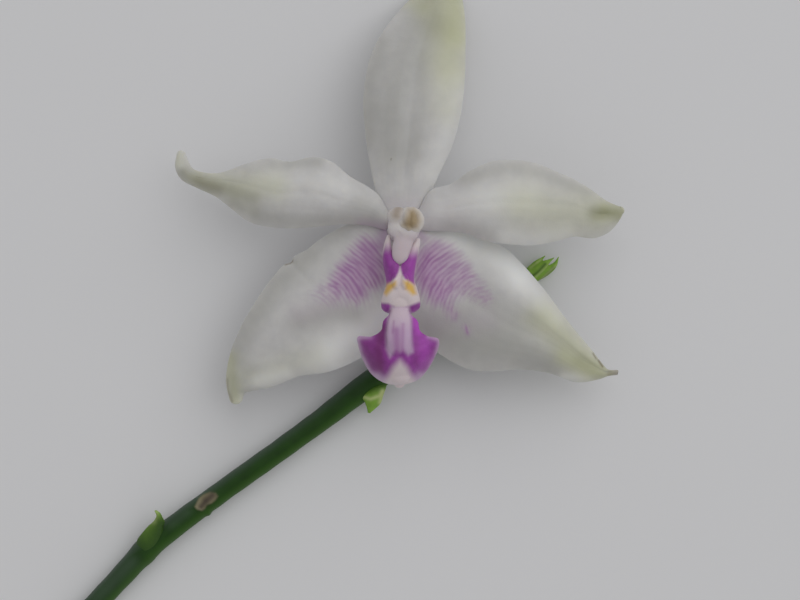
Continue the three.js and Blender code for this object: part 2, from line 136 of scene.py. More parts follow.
class Route:
    """Smooth curve through points (centripetal Catmull-Rom), walked by its own length."""

    STEPS = 24  # between two points

    def __init__(self, points: Points) -> None:
        """Builds the table of places along the curve.

        Args:
            points: what the curve passes through, in two or three dimensions.
        """
        p = np.array([(*q, 0.0)[:3] for q in points], float)
        ends = np.vstack([2 * p[0] - p[1], p, 2 * p[-1] - p[-2]])
        gap = np.sqrt(np.linalg.norm(np.diff(ends, axis=0), axis=1))
        u = (np.arange(self.STEPS) / self.STEPS)[:, None]
        rows = []
        for i in range(len(p) - 1):
            x0, x1, x2, x3 = ends[i : i + 4]
            d0, d1, d2 = gap[i : i + 3]
            t1 = ((x1 - x0) / d0 - (x2 - x0) / (d0 + d1) + (x2 - x1) / d1) * d1
            t2 = ((x2 - x1) / d1 - (x3 - x1) / (d1 + d2) + (x3 - x2) / d2) * d1
            c2 = 3 * (x2 - x1) - 2 * t1 - t2
            c3 = 2 * (x1 - x2) + t1 + t2
            rows.append(x1 + t1 * u + c2 * u**2 + c3 * u**3)
        self.table = np.vstack([*rows, p[-1:]])
        run = np.concatenate([[0.0], np.cumsum(np.linalg.norm(np.diff(self.table, axis=0), axis=1))])
        self.length = float(run[-1])
        self.place = run / run[-1]

    def at(self, t: np.ndarray) -> np.ndarray:
        """Points at shares t of the length."""
        return np.stack([np.interp(t, self.place, self.table[:, k]) for k in range(3)], axis=-1)


def ripple(xy: np.ndarray, length: float, seed: int) -> np.ndarray:
    """Gentle uneven swell with a mean wavelength.

    Args:
        xy: places, in mm.
        length: mean wavelength, in mm.
        seed: which swell.

    Returns:
        Heights of about -1 to 1.
    """
    rng = np.random.default_rng(seed)
    total = np.zeros(xy.shape[:-1])
    waves = 7
    shortest, longest = 0.7, 1.5
    for _ in range(waves):
        angle = rng.uniform(0, math.tau)
        number = math.tau / (length * rng.uniform(shortest, longest))
        run = xy[..., 0] * math.cos(angle) + xy[..., 1] * math.sin(angle)
        total += np.sin(number * run + rng.uniform(0, math.tau))
    return total / math.sqrt(waves)


def distance_to(xy: np.ndarray, a: np.ndarray, b: np.ndarray) -> np.ndarray:
    """Distance from places to the straight edge from a to b.

    Args:
        xy: places, in mm.
        a: one end of the edge.
        b: its other end.

    Returns:
        The distance of each place, in mm.
    """
    edge = b - a
    along = np.clip(((xy - a) @ edge) / (edge @ edge), 0, 1)
    return np.linalg.norm(xy - a - along[:, None] * edge, axis=1)


@dataclass(frozen=True)
class Patch:
    """Soft-edged filled area on the face, seen from the front."""

    outline: Points
    soft: float = 0.15
    strength: float = 1.0

    def mask(self, xy: np.ndarray) -> np.ndarray:
        """How strong the patch is.

        Args:
            xy: places, in mm.

        Returns:
            Its share at each place, 0 to 1.
        """
        ring = np.array(self.outline, float)
        inside = np.zeros(len(xy), bool)
        nearest = np.full(len(xy), np.inf)
        for a, b in zip(ring, np.roll(ring, -1, axis=0)):
            nearest = np.minimum(nearest, distance_to(xy, a, b))
            run, rise = b - a
            spans = (a[1] > xy[:, 1]) != (b[1] > xy[:, 1])
            inside ^= spans & (xy[:, 0] < run * (xy[:, 1] - a[1]) / (rise or TINY) + a[0])
        return self.strength * ease(np.where(inside, nearest, -nearest), -self.soft, self.soft)


@dataclass(frozen=True)
class Streak:
    """Soft line on the face, seen from the front, that fades to both sides."""

    points: Points
    width: float
    strength: float = 1.0

    def mask(self, xy: np.ndarray) -> np.ndarray:
        """How strong the streak is.

        Args:
            xy: places, in mm.

        Returns:
            Its share at each place, 0 to 1.
        """
        line = np.array(self.points, float)
        nearest = np.min([distance_to(xy, a, b) for a, b in zip(line[:-1], line[1:])], axis=0)
        return self.strength * bell(nearest, self.width)


Mark = Patch | Streak


def marked(xy: np.ndarray, marks: Sequence[Mark]) -> np.ndarray:
    """Several marks together.

    Args:
        xy: places, in mm.
        marks: the marks.

    Returns:
        Their joint share at each place, 0 to 1.
    """
    clear = np.ones(len(xy))
    for mark in marks:
        clear *= 1 - np.clip(mark.mask(xy), 0, 1)
    return 1 - clear


def shell_over(middle: np.ndarray, half: np.ndarray, floor: float | None = None) -> Shell:
    """Closed thin shell over a grid of points.

    Args:
        middle: middle surface, (along, across, 3).
        half: half thickness at each point. Where it is zero the two faces share a vertex.
        floor: height that the under face stops at.

    Returns:
        Vertices and faces. The first vertices are the upper face, row by row.
    """
    along, across = middle.shape[:2]
    normal = unit(np.cross(np.gradient(middle, axis=1), np.gradient(middle, axis=0)))
    upper = middle + normal * half[..., None]
    lower = middle - normal * half[..., None]
    if floor is not None:
        lower[..., 2] = np.maximum(lower[..., 2], floor)
    top = np.arange(along * across).reshape(along, across)
    under = top.copy()
    open_ = half > 0
    under[open_] = along * across + np.arange(int(open_.sum()))
    vertices = np.concatenate([upper.reshape(-1, 3), lower[open_]])
    up = np.stack([top[:-1, :-1], top[:-1, 1:], top[1:, 1:], top[1:, :-1]], axis=-1).reshape(-1, 4)
    down = np.stack([under[:-1, :-1], under[1:, :-1], under[1:, 1:], under[:-1, 1:]], axis=-1).reshape(-1, 4)
    base = np.stack([top[0, 1:], top[0, :-1], under[0, :-1], under[0, 1:]], axis=-1)
    faces = [tuple(dict.fromkeys(f)) for f in np.concatenate([up, down, base]).tolist()]
    return vertices, [f for f in faces if len(f) > 2]


def circle(count: int) -> np.ndarray:
    """Evenly spaced angles round a circle."""
    return np.linspace(0, math.tau, count, endpoint=False)


def loft(rings: Sequence[np.ndarray]) -> Shell:
    """Closed skin over rings, with a fan at each end.

    Args:
        rings: rings with equal numbers of points.

    Returns:
        Vertices and faces.
    """
    count = len(rings[0])
    vertices = np.vstack([*rings, rings[0].mean(axis=0), rings[-1].mean(axis=0)])
    first = len(rings) * count
    last_ring = first - count
    faces: list[tuple[int, ...]] = []
    for start in range(0, last_ring, count):
        for k in range(count):
            a, b = start + k, start + (k + 1) % count
            faces.append((a, b, b + count, a + count))
    for k in range(count):
        after = (k + 1) % count
        faces.append((first, after, k))
        faces.append((first + 1, last_ring + k, last_ring + after))
    return vertices, faces


@dataclass(frozen=True)
class Tube:
    """Closed tube with rounded ends along a curve."""

    points: Points
    radii: Sequence[float]  # at evenly spaced places
    sides: int = 28
    flat: float = 1.0  # its height as a share of its width
    steps: int = 28
    dome_rings: int = 6
    blunt: float = 0.02  # least radius of a dome's rings, as a share

    def shell(self) -> Shell:
        """Skins the tube.

        Returns:
            Vertices and faces.
        """
        t = np.linspace(0, 1, self.steps + 1)
        centre = Route(self.points).at(t)
        heading = unit(np.gradient(centre, axis=0))
        wide = unit(np.cross(heading, UP) + NUDGE)
        high = np.cross(wide, heading)
        radius = smooth(self.radii, t)
        angle = circle(self.sides)[:, None]

        def ring(i: int, turn: float) -> np.ndarray:
            """Ring i, moved out over the dome by an angle.

            Args:
                i: which ring of the tube.
                turn: angle over the dome, negative at the tube's start.

            Returns:
                The ring's points.
            """
            flank = np.cos(angle) * wide[i] + self.flat * np.sin(angle) * high[i]
            push = heading[i] * math.sin(turn) * radius[i] * self.flat
            return centre[i] + push + flank * radius[i] * max(math.cos(turn), self.blunt)

        dome = np.linspace(math.pi / 2, 0, self.dome_rings)[:-1]
        places = [(0, -turn) for turn in dome]
        places += [(i, 0.0) for i in range(self.steps + 1)]
        places += [(self.steps, turn) for turn in dome[::-1]]
        return loft([ring(i, turn) for i, turn in places])


@dataclass(frozen=True)
class Lump:
    """Rounded lump: a sphere stretched to half sizes."""

    centre: Sequence[float]
    half: Sequence[float]
    segments: int = 32

    def shell(self, origin: Sequence[float] = (0.0, 0.0, 0.0)) -> Shell:
        """Skins the lump.

        Args:
            origin: what its centre is measured from.

        Returns:
            Vertices and faces.
        """
        middle = np.add(self.centre, origin)
        angle = circle(self.segments)
        rings = []
        for polar in np.linspace(0, math.pi, self.segments // 2 + 1)[1:-1]:
            flank = np.sin(polar)
            level = np.full(self.segments, np.cos(polar))
            ring = np.stack([flank * np.cos(angle), flank * np.sin(angle), level], axis=-1)
            rings.append(ring * self.half + middle)
        return loft(rings)


@dataclass(frozen=True)
class Face:
    """Thin blade between two edges seen from the front.

    left and right run from base to tip, as seen from the base with the face up. The ridge between them has
    its own heights and each edge falls away from it. bow slides the middle of each cross line to the tip.
    """

    left: Points
    right: Points
    ridge: Sequence[float]
    fall_left: Sequence[float]
    fall_right: Sequence[float]
    thickness: float = 0.5
    power: float = 2.0
    bow: Sequence[float] = (0.0, 0.0)
    tip: float = 0.03  # share of the length that rounds off the tip
    tip_rows: int = 8
    root: float = 0.0  # share of the length that runs on to where the blades grow together
    root_width: float = 0.35  # share of its width that the blade has there
    edge: float = 0.6  # power by which the thickness runs out at the margins
    cells: tuple[int, int] = (130, 60)

    def grid(self) -> tuple[np.ndarray, np.ndarray]:
        """Places along and across the blade, closer together at the margins.

        Returns:
            Shares of the length, past 0 and 1 at root and tip, and of the half width, -1 to 1.
        """
        along, across = self.cells
        ends = np.linspace(0, math.pi / 2, self.tip_rows + 1)[1:]
        t = np.concatenate([np.linspace(-self.root, 1, along), 1 + self.tip * np.sin(ends)])
        s = np.sin(np.linspace(-math.pi / 2, math.pi / 2, across + 1))
        return np.meshgrid(t, s, indexing="ij")

    def surface(self, t: np.ndarray, s: np.ndarray) -> np.ndarray:
        """Middle surface of the blade, before any relief.

        Args:
            t: shares of the length.
            s: shares of the half width.

        Returns:
            A point for each pair, in mm.
        """
        place = np.clip(t, 0, 1)
        a, b = Route(self.left).at(place[:, 0]), Route(self.right).at(place[:, 0])
        across = b - a
        ahead = unit(np.stack([-across[:, 1], across[:, 0], 0 * across[:, 0]], axis=-1))
        past = np.clip((t[:, :1] - 1) / self.tip, 0, 1)
        reach = np.sqrt(np.maximum(1 - past**2, 0))
        point = ((a + b) / 2)[:, None] + across[:, None] / 2 * (reach * s)[..., None]
        push = smooth(self.bow, place) * (1 - s**2)
        push = push + past * np.linalg.norm(across, axis=1)[:, None] / 2
        point = point + ahead[:, None] * push[..., None]
        fall = np.where(s < 0, smooth(self.fall_left, place), smooth(self.fall_right, place))
        point[..., 2] = smooth(self.ridge, place) - fall * np.abs(s * reach) ** self.power
        if self.root:
            back = ease(-t / self.root, 0, 1)[..., None]
            start = point[np.argmin(np.abs(t[:, 0]))]
            rooted = ROOT + self.root_width * (start - start.mean(axis=0))
            point = point * (1 - back) + rooted * back
        return point

    def half(self, t: np.ndarray, s: np.ndarray) -> np.ndarray:
        """Half thickness, which runs out round the margins and the tip.

        Args:
            t: shares of the length.
            s: shares of the half width.

        Returns:
            The half thickness for each pair, in mm.
        """
        past = np.clip((t - 1) / self.tip, 0, 1)
        out = np.sqrt(np.maximum(1 - s**2, 0)) * np.sqrt(np.maximum(1 - past**2, 0))
        return np.where(out > THIN, self.thickness / 2 * out**self.edge, 0.0)

    def shell(self) -> Shell:
        """The blade without relief, as a thin closed shell."""
        t, s = self.grid()
        return shell_over(self.surface(t, s), self.half(t, s))


def merged(shells: Sequence[Shell]) -> Shell:
    """Several shells as one set, not joined.

    Args:
        shells: the shells.

    Returns:
        Vertices and faces.
    """
    vertices, faces, start = [], [], 0
    for v, f in shells:
        vertices.append(v)
        faces += [tuple(start + i for i in face) for face in f]
        start += len(v)
    return np.vstack(vertices), faces


def mesh_of(name: str, shell: Shell, merge: float) -> bpy.types.Mesh:
    """Mesh of a shell, with its faces turned outwards.

    Args:
        name: the mesh's name.
        shell: vertices and faces.
        merge: distance below which vertices are joined.

    Returns:
        The mesh.
    """
    mesh = bpy.data.meshes.new(name)
    mesh.from_pydata(shell[0].tolist(), [], shell[1])
    skin = bmesh.new()
    skin.from_mesh(mesh)
    bmesh.ops.remove_doubles(skin, verts=skin.verts, dist=merge)
    bmesh.ops.recalc_face_normals(skin, faces=skin.faces)
    skin.to_mesh(mesh)
    skin.free()
    mesh.shade_smooth()
    return mesh


def arrays_of(mesh: bpy.types.Mesh) -> Shell:
    """Reads a mesh back.

    Args:
        mesh: the mesh.

    Returns:
        Vertices and faces.
    """
    flat = np.empty(len(mesh.vertices) * 3)
    mesh.vertices.foreach_get("co", flat)
    return flat.reshape(-1, 3), [tuple(face.vertices) for face in mesh.polygons]


def set_attribute(mesh: bpy.types.Mesh, name: str, values: np.ndarray) -> None:
    """Gives a mesh a number at each vertex."""
    mesh.attributes.new(name, "FLOAT", "POINT").data.foreach_set("value", values.astype(np.float32))


def placed(name: str, data: bpy.types.ID) -> bpy.types.Object:
    """Adds an object to the scene.

    Args:
        name: its name.
        data: its mesh, light or camera.

    Returns:
        The object.
    """
    made = bpy.data.objects.new(name, data)
    bpy.context.scene.collection.objects.link(made)
    return made


def evaluated(source: bpy.types.Object) -> Shell:
    """Applies an object's modifiers. The object goes.

    Args:
        source: the object.

    Returns:
        Vertices and faces of the result.
    """
    graph = bpy.context.evaluated_depsgraph_get()
    mesh = bpy.data.meshes.new_from_object(source.evaluated_get(graph))
    shell = arrays_of(mesh)
    source.modifiers.clear()
    bpy.data.objects.remove(source)
    bpy.data.meshes.remove(mesh)
    return shell


def fused(shells: Sequence[Shell], voxel: float, rounds: int) -> Shell:
    """One skin over overlapping closed shells.

    Args:
        shells: the shells, in mm.
        voxel: size of the cells the skin is made with, in mm.
        rounds: how often the skin is smoothed.

    Returns:
        Vertices and faces.
    """
    source = placed("fused", mesh_of("fused", merged(shells), SAME_MM))
    remesh = source.modifiers.new("voxels", "REMESH")
    remesh.mode = "VOXEL"
    remesh.voxel_size = voxel
    relax = source.modifiers.new("relax", "SMOOTH")
    relax.factor = 0.5
    relax.iterations = rounds
    return evaluated(source)


def paint(code: str) -> tuple[float, float, float, float]:
    """sRGB hex colour as linear red, green, blue and alpha, by the sRGB curve."""
    parts = [int(code[i : i + 2], 16) / 255 for i in (1, 3, 5)]
    return (*[p / 12.92 if p <= 0.04045 else ((p + 0.055) / 1.055) ** 2.4 for p in parts], 1.0)


class Graph:
    """Short way to add and link the nodes of a tree."""

    MIX_COLOUR = 2  # place of a mix node's colour among its outputs

    def __init__(self, tree: bpy.types.NodeTree) -> None:
        """Empties the tree."""
        self.tree = tree
        tree.nodes.clear()

    def add(self, kind: str, inputs: dict | None = None, **settings: object) -> bpy.types.Node:
        """Adds a node.

        Args:
            kind: the node's type.
            inputs: value, socket or node that feeds each input, by the input's name or place.
            **settings: the node's own settings.

        Returns:
            The node.
        """
        made = self.tree.nodes.new(kind)
        for key, value in settings.items():
            setattr(made, key, value)
        for key, value in (inputs or {}).items():
            if isinstance(value, bpy.types.Node):
                value = value.outputs[self.MIX_COLOUR if value.bl_idname == "ShaderNodeMix" else 0]
            if isinstance(value, bpy.types.NodeSocket):
                self.tree.links.new(value, made.inputs[key])
            else:
                made.inputs[key].default_value = value
        return made

    def noise(self, place: bpy.types.NodeSocket, size: float, detail: float) -> bpy.types.NodeSocket:
        """Adds noise with patches of a size in mm."""
        given = {"Vector": place, "Scale": 1 / (size * MM), "Detail": detail}
        return self.add("ShaderNodeTexNoise", given).outputs["Fac"]


@dataclass(frozen=True)
class Layer:
    """Colour laid over a finish where a vertex mark is."""

    mark: str
    colour: str


@dataclass(frozen=True)
class Bars:
    """Broken strokes that curve round a centre on each side, where the vertex mark "bars" is."""

    colour: str
    haze: str
    centre: Pair = (9.2, -9.0)  # mm, mirrored to the other side
    arc: float = 8.0  # mm, how far the middle of the bars is from their centre
    pitch: float = 0.43  # mm from stroke to stroke
    stroke: float = 2.1  # mm, their length
    wander: float = 1.4  # pitches that a stroke strays sideways
    wander_size: float = 2.2  # mm over which it strays
    evenness: float = 0.105  # how strongly the strokes keep their pitch
    cut: Pair = (0.34, 0.68)  # heights of the noise where a stroke starts and is full
    contrast: float = 0.74
    stroke_fade: float = 0.7  # power of the mark that the strokes fade by
    haze_fade: float = 1.3  # power of the mark that the haze between them fades by


@dataclass(frozen=True)
class Finish:
    """Living plant surface: mottled colour, coloured marks, fine cells in relief and light spread inside.

    The real cells are about 0.05 mm wide and are drawn about twice as wide, so that they show.
    """

    MOTTLE_RANGE = (0.35, 0.65)  # heights of the noise between the two colours

    name: str
    base: str
    mottle: str
    layers: tuple[Layer, ...] = ()
    bars: Bars | None = None
    mottle_size: float = 1.2  # mm
    cell: float = 0.12  # mm
    cell_height: float = 0.02  # mm
    roughness: float = 0.5
    ior: float = 1.42
    inside: float = 0.2  # share of light that spreads inside
    reach: tuple[float, float, float] = (0.6, 0.55, 0.45)  # mm
    sheen: float = 0.0

    def material(self) -> bpy.types.Material:
        """Builds the material's nodes.

        Returns:
            The material.
        """
        made = bpy.data.materials.new(self.name)
        made.use_nodes = True
        g = Graph(made.node_tree)
        place = g.add("ShaderNodeTexCoord").outputs["Object"]
        low, high = self.MOTTLE_RANGE
        blotch = {"Value": g.noise(place, self.mottle_size, 3.0), "From Min": low, "From Max": high}
        colour = self.over(g, paint(self.base), self.mottle, g.add("ShaderNodeMapRange", blotch))
        for layer in self.layers:
            mark = g.add("ShaderNodeAttribute", attribute_name=layer.mark).outputs["Fac"]
            colour = self.over(g, colour, layer.colour, mark)
        if self.bars:
            colour = self.barred(g, place, colour)
        pattern = {"Vector": place, "Scale": 1 / (self.cell * MM)}
        cells = g.add("ShaderNodeTexVoronoi", pattern, feature="SMOOTH_F1").outputs["Distance"]
        relief = {"Height": cells, "Distance": self.cell_height * MM, "Strength": 1.0}
        bump = g.add("ShaderNodeBump", relief, invert=True)
        skin = g.add(
            "ShaderNodeBsdfPrincipled",
            {
                "Base Color": colour,
                "Roughness": self.roughness,
                "IOR": self.ior,
                "Subsurface Weight": self.inside,
                "Subsurface Radius": tuple(r * MM for r in self.reach),
                "Subsurface Scale": 1.0,
                "Sheen Weight": self.sheen,
                "Normal": bump,
            },
        )
        g.add("ShaderNodeOutputMaterial", {"Surface": skin})
        return made

    def over(self, g: Graph, below: object, code: str, share: object) -> bpy.types.Node:
        """Lays an sRGB hex colour over the colour below, by a share."""
        return g.add("ShaderNodeMix", {0: share, 6: below, 7: paint(code)}, data_type="RGBA")

    def barred(self, g: Graph, place: bpy.types.NodeSocket, colour: bpy.types.Node) -> bpy.types.Node:
        """Adds the bars over a colour.

        Args:
            g: the material's nodes.
            place: object coordinates.
            colour: the node with the colour so far.

        Returns:
            The node with the colour and the bars.
        """
        bars, middle = self.bars, to_frame(np.zeros(3))
        pitch = bars.pitch * MM

        def math_of(operation: str, *inputs: object) -> bpy.types.Node:
            """Adds one step of reckoning."""
            return g.add("ShaderNodeMath", dict(enumerate(inputs)), operation=operation)

        split = g.add("ShaderNodeSeparateXYZ", {0: place})
        x = math_of("SUBTRACT", split.outputs["X"], middle[0])
        side = math_of("ABSOLUTE", x)
        off_x = math_of("SUBTRACT", side, bars.centre[0] * MM)
        off_y = math_of("SUBTRACT", split.outputs["Y"], middle[1] + bars.centre[1] * MM)
        angle = math_of("ARCTAN2", off_y, off_x)
        arm = g.add("ShaderNodeCombineXYZ", {0: off_x, 1: off_y})
        away = g.add("ShaderNodeVectorMath", {0: arm}, operation="LENGTH").outputs["Value"]
        shift = math_of("MULTIPLY", g.noise(place, bars.wander_size, 1.0), bars.wander * pitch)
        across = math_of("MULTIPLY", math_of("ADD", away, shift), 1 / pitch)
        along = math_of("MULTIPLY", angle, bars.arc / bars.stroke)
        spread = g.add("ShaderNodeCombineXYZ", {0: across, 1: along, 2: math_of("SIGN", x)})
        streaks = g.add("ShaderNodeTexNoise", {"Vector": spread, "Scale": 1.0, "Detail": 2.0})
        wave = math_of("SINE", math_of("MULTIPLY", across, math.tau))
        height = math_of("MULTIPLY_ADD", wave, bars.evenness, streaks.outputs["Fac"])
        low, high = bars.cut
        stroke = {"Value": height, "From Min": low, "From Max": high, "To Max": bars.contrast}
        line = g.add("ShaderNodeMapRange", stroke)
        zone = g.add("ShaderNodeAttribute", attribute_name="bars").outputs["Fac"]
        hazy = self.over(g, colour, bars.haze, math_of("POWER", zone, bars.haze_fade))
        share = math_of("MULTIPLY", line, math_of("POWER", zone, bars.stroke_fade))
        return self.over(g, hazy, bars.colour, share)


@dataclass(frozen=True)
class Label:
    """What a piece is called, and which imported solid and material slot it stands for."""

    name: str
    node: str
    slot: Slot


def add_piece(label: Label, shell: Shell, material: bpy.types.Material, marks: Marks) -> bpy.types.Object:
    """Adds one piece of the flower to the scene.

    Args:
        label: its name, node and slot.
        shell: vertices in the flower's axes, in mm, and faces.
        material: its material.
        marks: gives the vertex marks for given places, in mm.

    Returns:
        The piece, riding on the root body.
    """
    mesh = mesh_of(label.name, (to_frame(shell[0]), shell[1]), SAME_M)
    mesh.materials.append(material)
    places = arrays_of(mesh)[0] / MM - FLOWER_CENTRE
    for name, values in marks(places).items():
        set_attribute(mesh, name, values)
    piece = placed(label.name, mesh)
    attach(piece, "root")
    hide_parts(label.node)
    return piece


# Sepals and petals


PETAL_FINISH = Finish(
    name="orchid_petal_white",  # white orchid petal, slightly translucent, with glassy surface cells
    base="#D9D8D7",
    mottle="#D2D1D1",
    layers=(
        # the grey layer is painted shade: where a blade turns away from the light, in its hollows and under
        # the parts above it
        Layer("grey", "#A8A8A1"),
        Layer("blush", "#C2AAC4"),
        # the light layer is painted light: on faces turned to the light and over the shadows that the parts
        # above cast
        Layer("light", "#F4F4F2"),
        Layer("green", "#C8CB97"),
        # the olive layer is an olive tint that also paints shade in folds and where a blade turns away from
        # the light
        Layer("olive_and_painted_shade", "#8B8C63"),
        Layer("brown", "#6E5F44"),
    ),
    bars=Bars(colour="#A365A7", haze="#C7A2C7"),
    cell=0.14,
    cell_height=0.009,
    roughness=0.42,
    inside=0.5,
    sheen=0.1,
)


@dataclass(frozen=True)
class Furrow:
    """Hollow that runs along a blade."""

    depth: float  # mm
    across: float  # share of the half width
    width: float  # share of the half width
    start: Pair  # shares of the length between which it sets in
    end: Pair  # shares of the length between which it runs out

    def at(self, t: np.ndarray, s: np.ndarray, _xy: np.ndarray) -> np.ndarray:
        """How deep it is, in mm."""
        return self.depth * bell(s - self.across, self.width) * stretch(t, self.start, self.end)


@dataclass(frozen=True)
class Dent:
    """Oval hollow in a blade, in mm."""

    depth: float
    centre: Pair
    half: Pair

    def at(self, _t: np.ndarray, _s: np.ndarray, xy: np.ndarray) -> np.ndarray:
        """How deep it is."""
        return self.depth * np.exp(-((((xy - self.centre) / self.half) ** 2).sum(axis=-1)))


@dataclass
class Tepal:
    """One sepal or petal. Marks are areas and lines on its face, seen from the front, in mm."""

    label: Label
    face: Face
    green: Sequence[Mark] = ()
    # olive tint that also paints shade in folds and where the blade turns away from the light
    olive_and_painted_shade: Sequence[Mark] = ()
    brown: Sequence[Mark] = ()
    # painted shade, where the blade turns away from the light or lies under another part
    grey: Sequence[Mark] = ()
    blush: Sequence[Mark] = ()
    bars: Sequence[Mark] = ()
    # painted light, where the blade faces the light or lies in another part's shadow
    light: Sequence[Mark] = ()
    hollows: Sequence[Furrow | Dent] = ()
    midvein: Furrow = Furrow(0.06, 0.0, 0.12, (0.1, 0.35), (0.6, 0.95))
    veins: int = 9
    vein_height: float = 0.005  # mm
    vein_start: Pair = (0.0, 0.12)  # shares of the length between which the fine relief sets in
    vein_end: Pair = (0.85, 1.0)  # shares of the length between which it runs out
    swell: float = 0.05  # mm
    swell_length: float = 8.0  # mm
    seed: int = 1
    floor: float | None = None
    clearance: float = 0.8  # half thicknesses that the middle surface keeps above the floor

    def relief(self, t: np.ndarray, s: np.ndarray, xy: np.ndarray) -> np.ndarray:
        """Hollows, swells and faint veins that run with the blade's length.

        Args:
            t: shares of the length.
            s: shares of the half width.
            xy: places, in mm.

        Returns:
            Heights over the blade's smooth surface, in mm.
        """
        veins = -self.vein_height * np.cos(math.pi * self.veins * s) * (1 - s**2)
        swell = self.swell * ripple(xy, self.swell_length, self.seed)
        fine = stretch(t, self.vein_start, self.vein_end) * (veins - self.midvein.at(t, s, xy) + swell)
        return fine - sum(hollow.at(t, s, xy) for hollow in self.hollows)

    def shape(self) -> Shell:
        """Makes the blade.

        Returns:
            A thin closed shell.
        """
        t, s = self.face.grid()
        middle = self.face.surface(t, s)
        middle[..., 2] += self.relief(t, s, middle[..., :2])
        half = self.face.half(t, s)
        if self.floor is not None:
            middle[..., 2] = np.maximum(middle[..., 2], self.floor + self.clearance * half)
        return shell_over(middle, half, self.floor)

    def marks(self, places: np.ndarray) -> Shares:
        """Shares of each mark at each vertex."""
        names = ("green", "olive_and_painted_shade", "brown", "grey", "blush", "bars", "light")
        return {name: marked(places[:, :2], getattr(self, name)) for name in names}

    def build(self, material: bpy.types.Material) -> bpy.types.Object:
        """Adds the piece."""
        return add_piece(self.label, self.shape(), material, self.marks)


@dataclass
class DorsalSepal(Tepal):
    """Dorsal sepal: folded along a crease from its base."""

    label: Label = Label("dorsal_sepal_blade", "dorsal_sepal", Slot.PETAL)
    face: Face = Face(
        left=[
            (-1.4, 1.65), (-2.3, 3.4), (-2.9, 5.9), (-3.5, 9.8), (-3.65, 13.4), (-3.1, 16.8),
            (-2.1, 19.2), (-0.2, 22.0), (1.9, 24.3), (4.3, 26.0),
        ],
        right=[
            (1.8, 1.65), (3.2, 3.8), (4.1, 5.8), (5.1, 7.9), (6.1, 11.5), (6.5, 15.0), (6.6, 18.2),
            (6.6, 21.6), (6.2, 24.0), (4.9, 26.1),
        ],
        ridge=(0.1, 0.2, 0.5, 0.75, 0.65, 0.0, -1.4, -3.7, -6.4, -7.0),
        fall_left=(0.2, 0.6, 1.2, 1.6, 1.6, 1.4, 1.1, 0.8, 0.4, 0.1),
        fall_right=(0.2, 0.6, 1.0, 1.3, 1.3, 1.2, 1.0, 0.7, 0.4, 0.1),
        root=0.07,
        cells=(200, 100),
    )
    green: Sequence[Mark] = (
        Streak([(5.4, 26.0), (5.7, 22.0), (5.6, 19.5)], 1.5, 0.5),
        Streak([(4.0, 24.0), (5.0, 18.5), (5.2, 16.0)], 2.0, 0.34),
        Streak([(4.4, 17.0), (4.6, 12.0)], 1.7, 0.2),
        Streak([(0.4, 23.8), (2.2, 22.6)], 1.2, 0.35),
    )
    # olive tint near the tip, which also paints shade where the tip turns away from the light
    olive_and_painted_shade: Sequence[Mark] = (
        Streak([(2.4, 25.0), (3.1, 22.5), (3.7, 20.5)], 1.6, 0.3),
        Streak([(3.2, 20.0), (3.2, 16.5)], 1.2, 0.12),
    )
    brown: Sequence[Mark] = (Streak([(-0.92, 6.8), (-0.88, 6.9)], 0.06, 0.6),)
    # painted shade down the middle and on both sides of it, where the blade turns away from the light
    grey: Sequence[Mark] = (
        Streak([(1.6, 20.5), (0.3, 16.0), (-0.7, 12.0), (-0.6, 7.5)], 2.0, 0.45),
        Streak([(-1.8, 18.8), (-3.2, 14.0), (-3.2, 9.0)], 1.0, 0.35),
        Streak([(2.2, 17.0), (2.4, 12.0), (1.6, 7.5)], 1.0, 0.25),
    )
    blush: Sequence[Mark] = (Streak([(-0.8, 2.2), (1.2, 2.2)], 1.0, 0.15),)
    # painted light along the right side, which faces the light
    light: Sequence[Mark] = (Streak([(3.2, 5.5), (4.6, 9.0), (5.3, 12.0), (5.4, 15.0)], 1.2, 0.38),)
    veins: int = 11
    seed: int = 3
    floor: float | None = FLOOR
    hollows: Sequence[Furrow | Dent] = (Furrow(0.2, -0.02, 0.22, (0.05, 0.2), (0.45, 0.9)),)


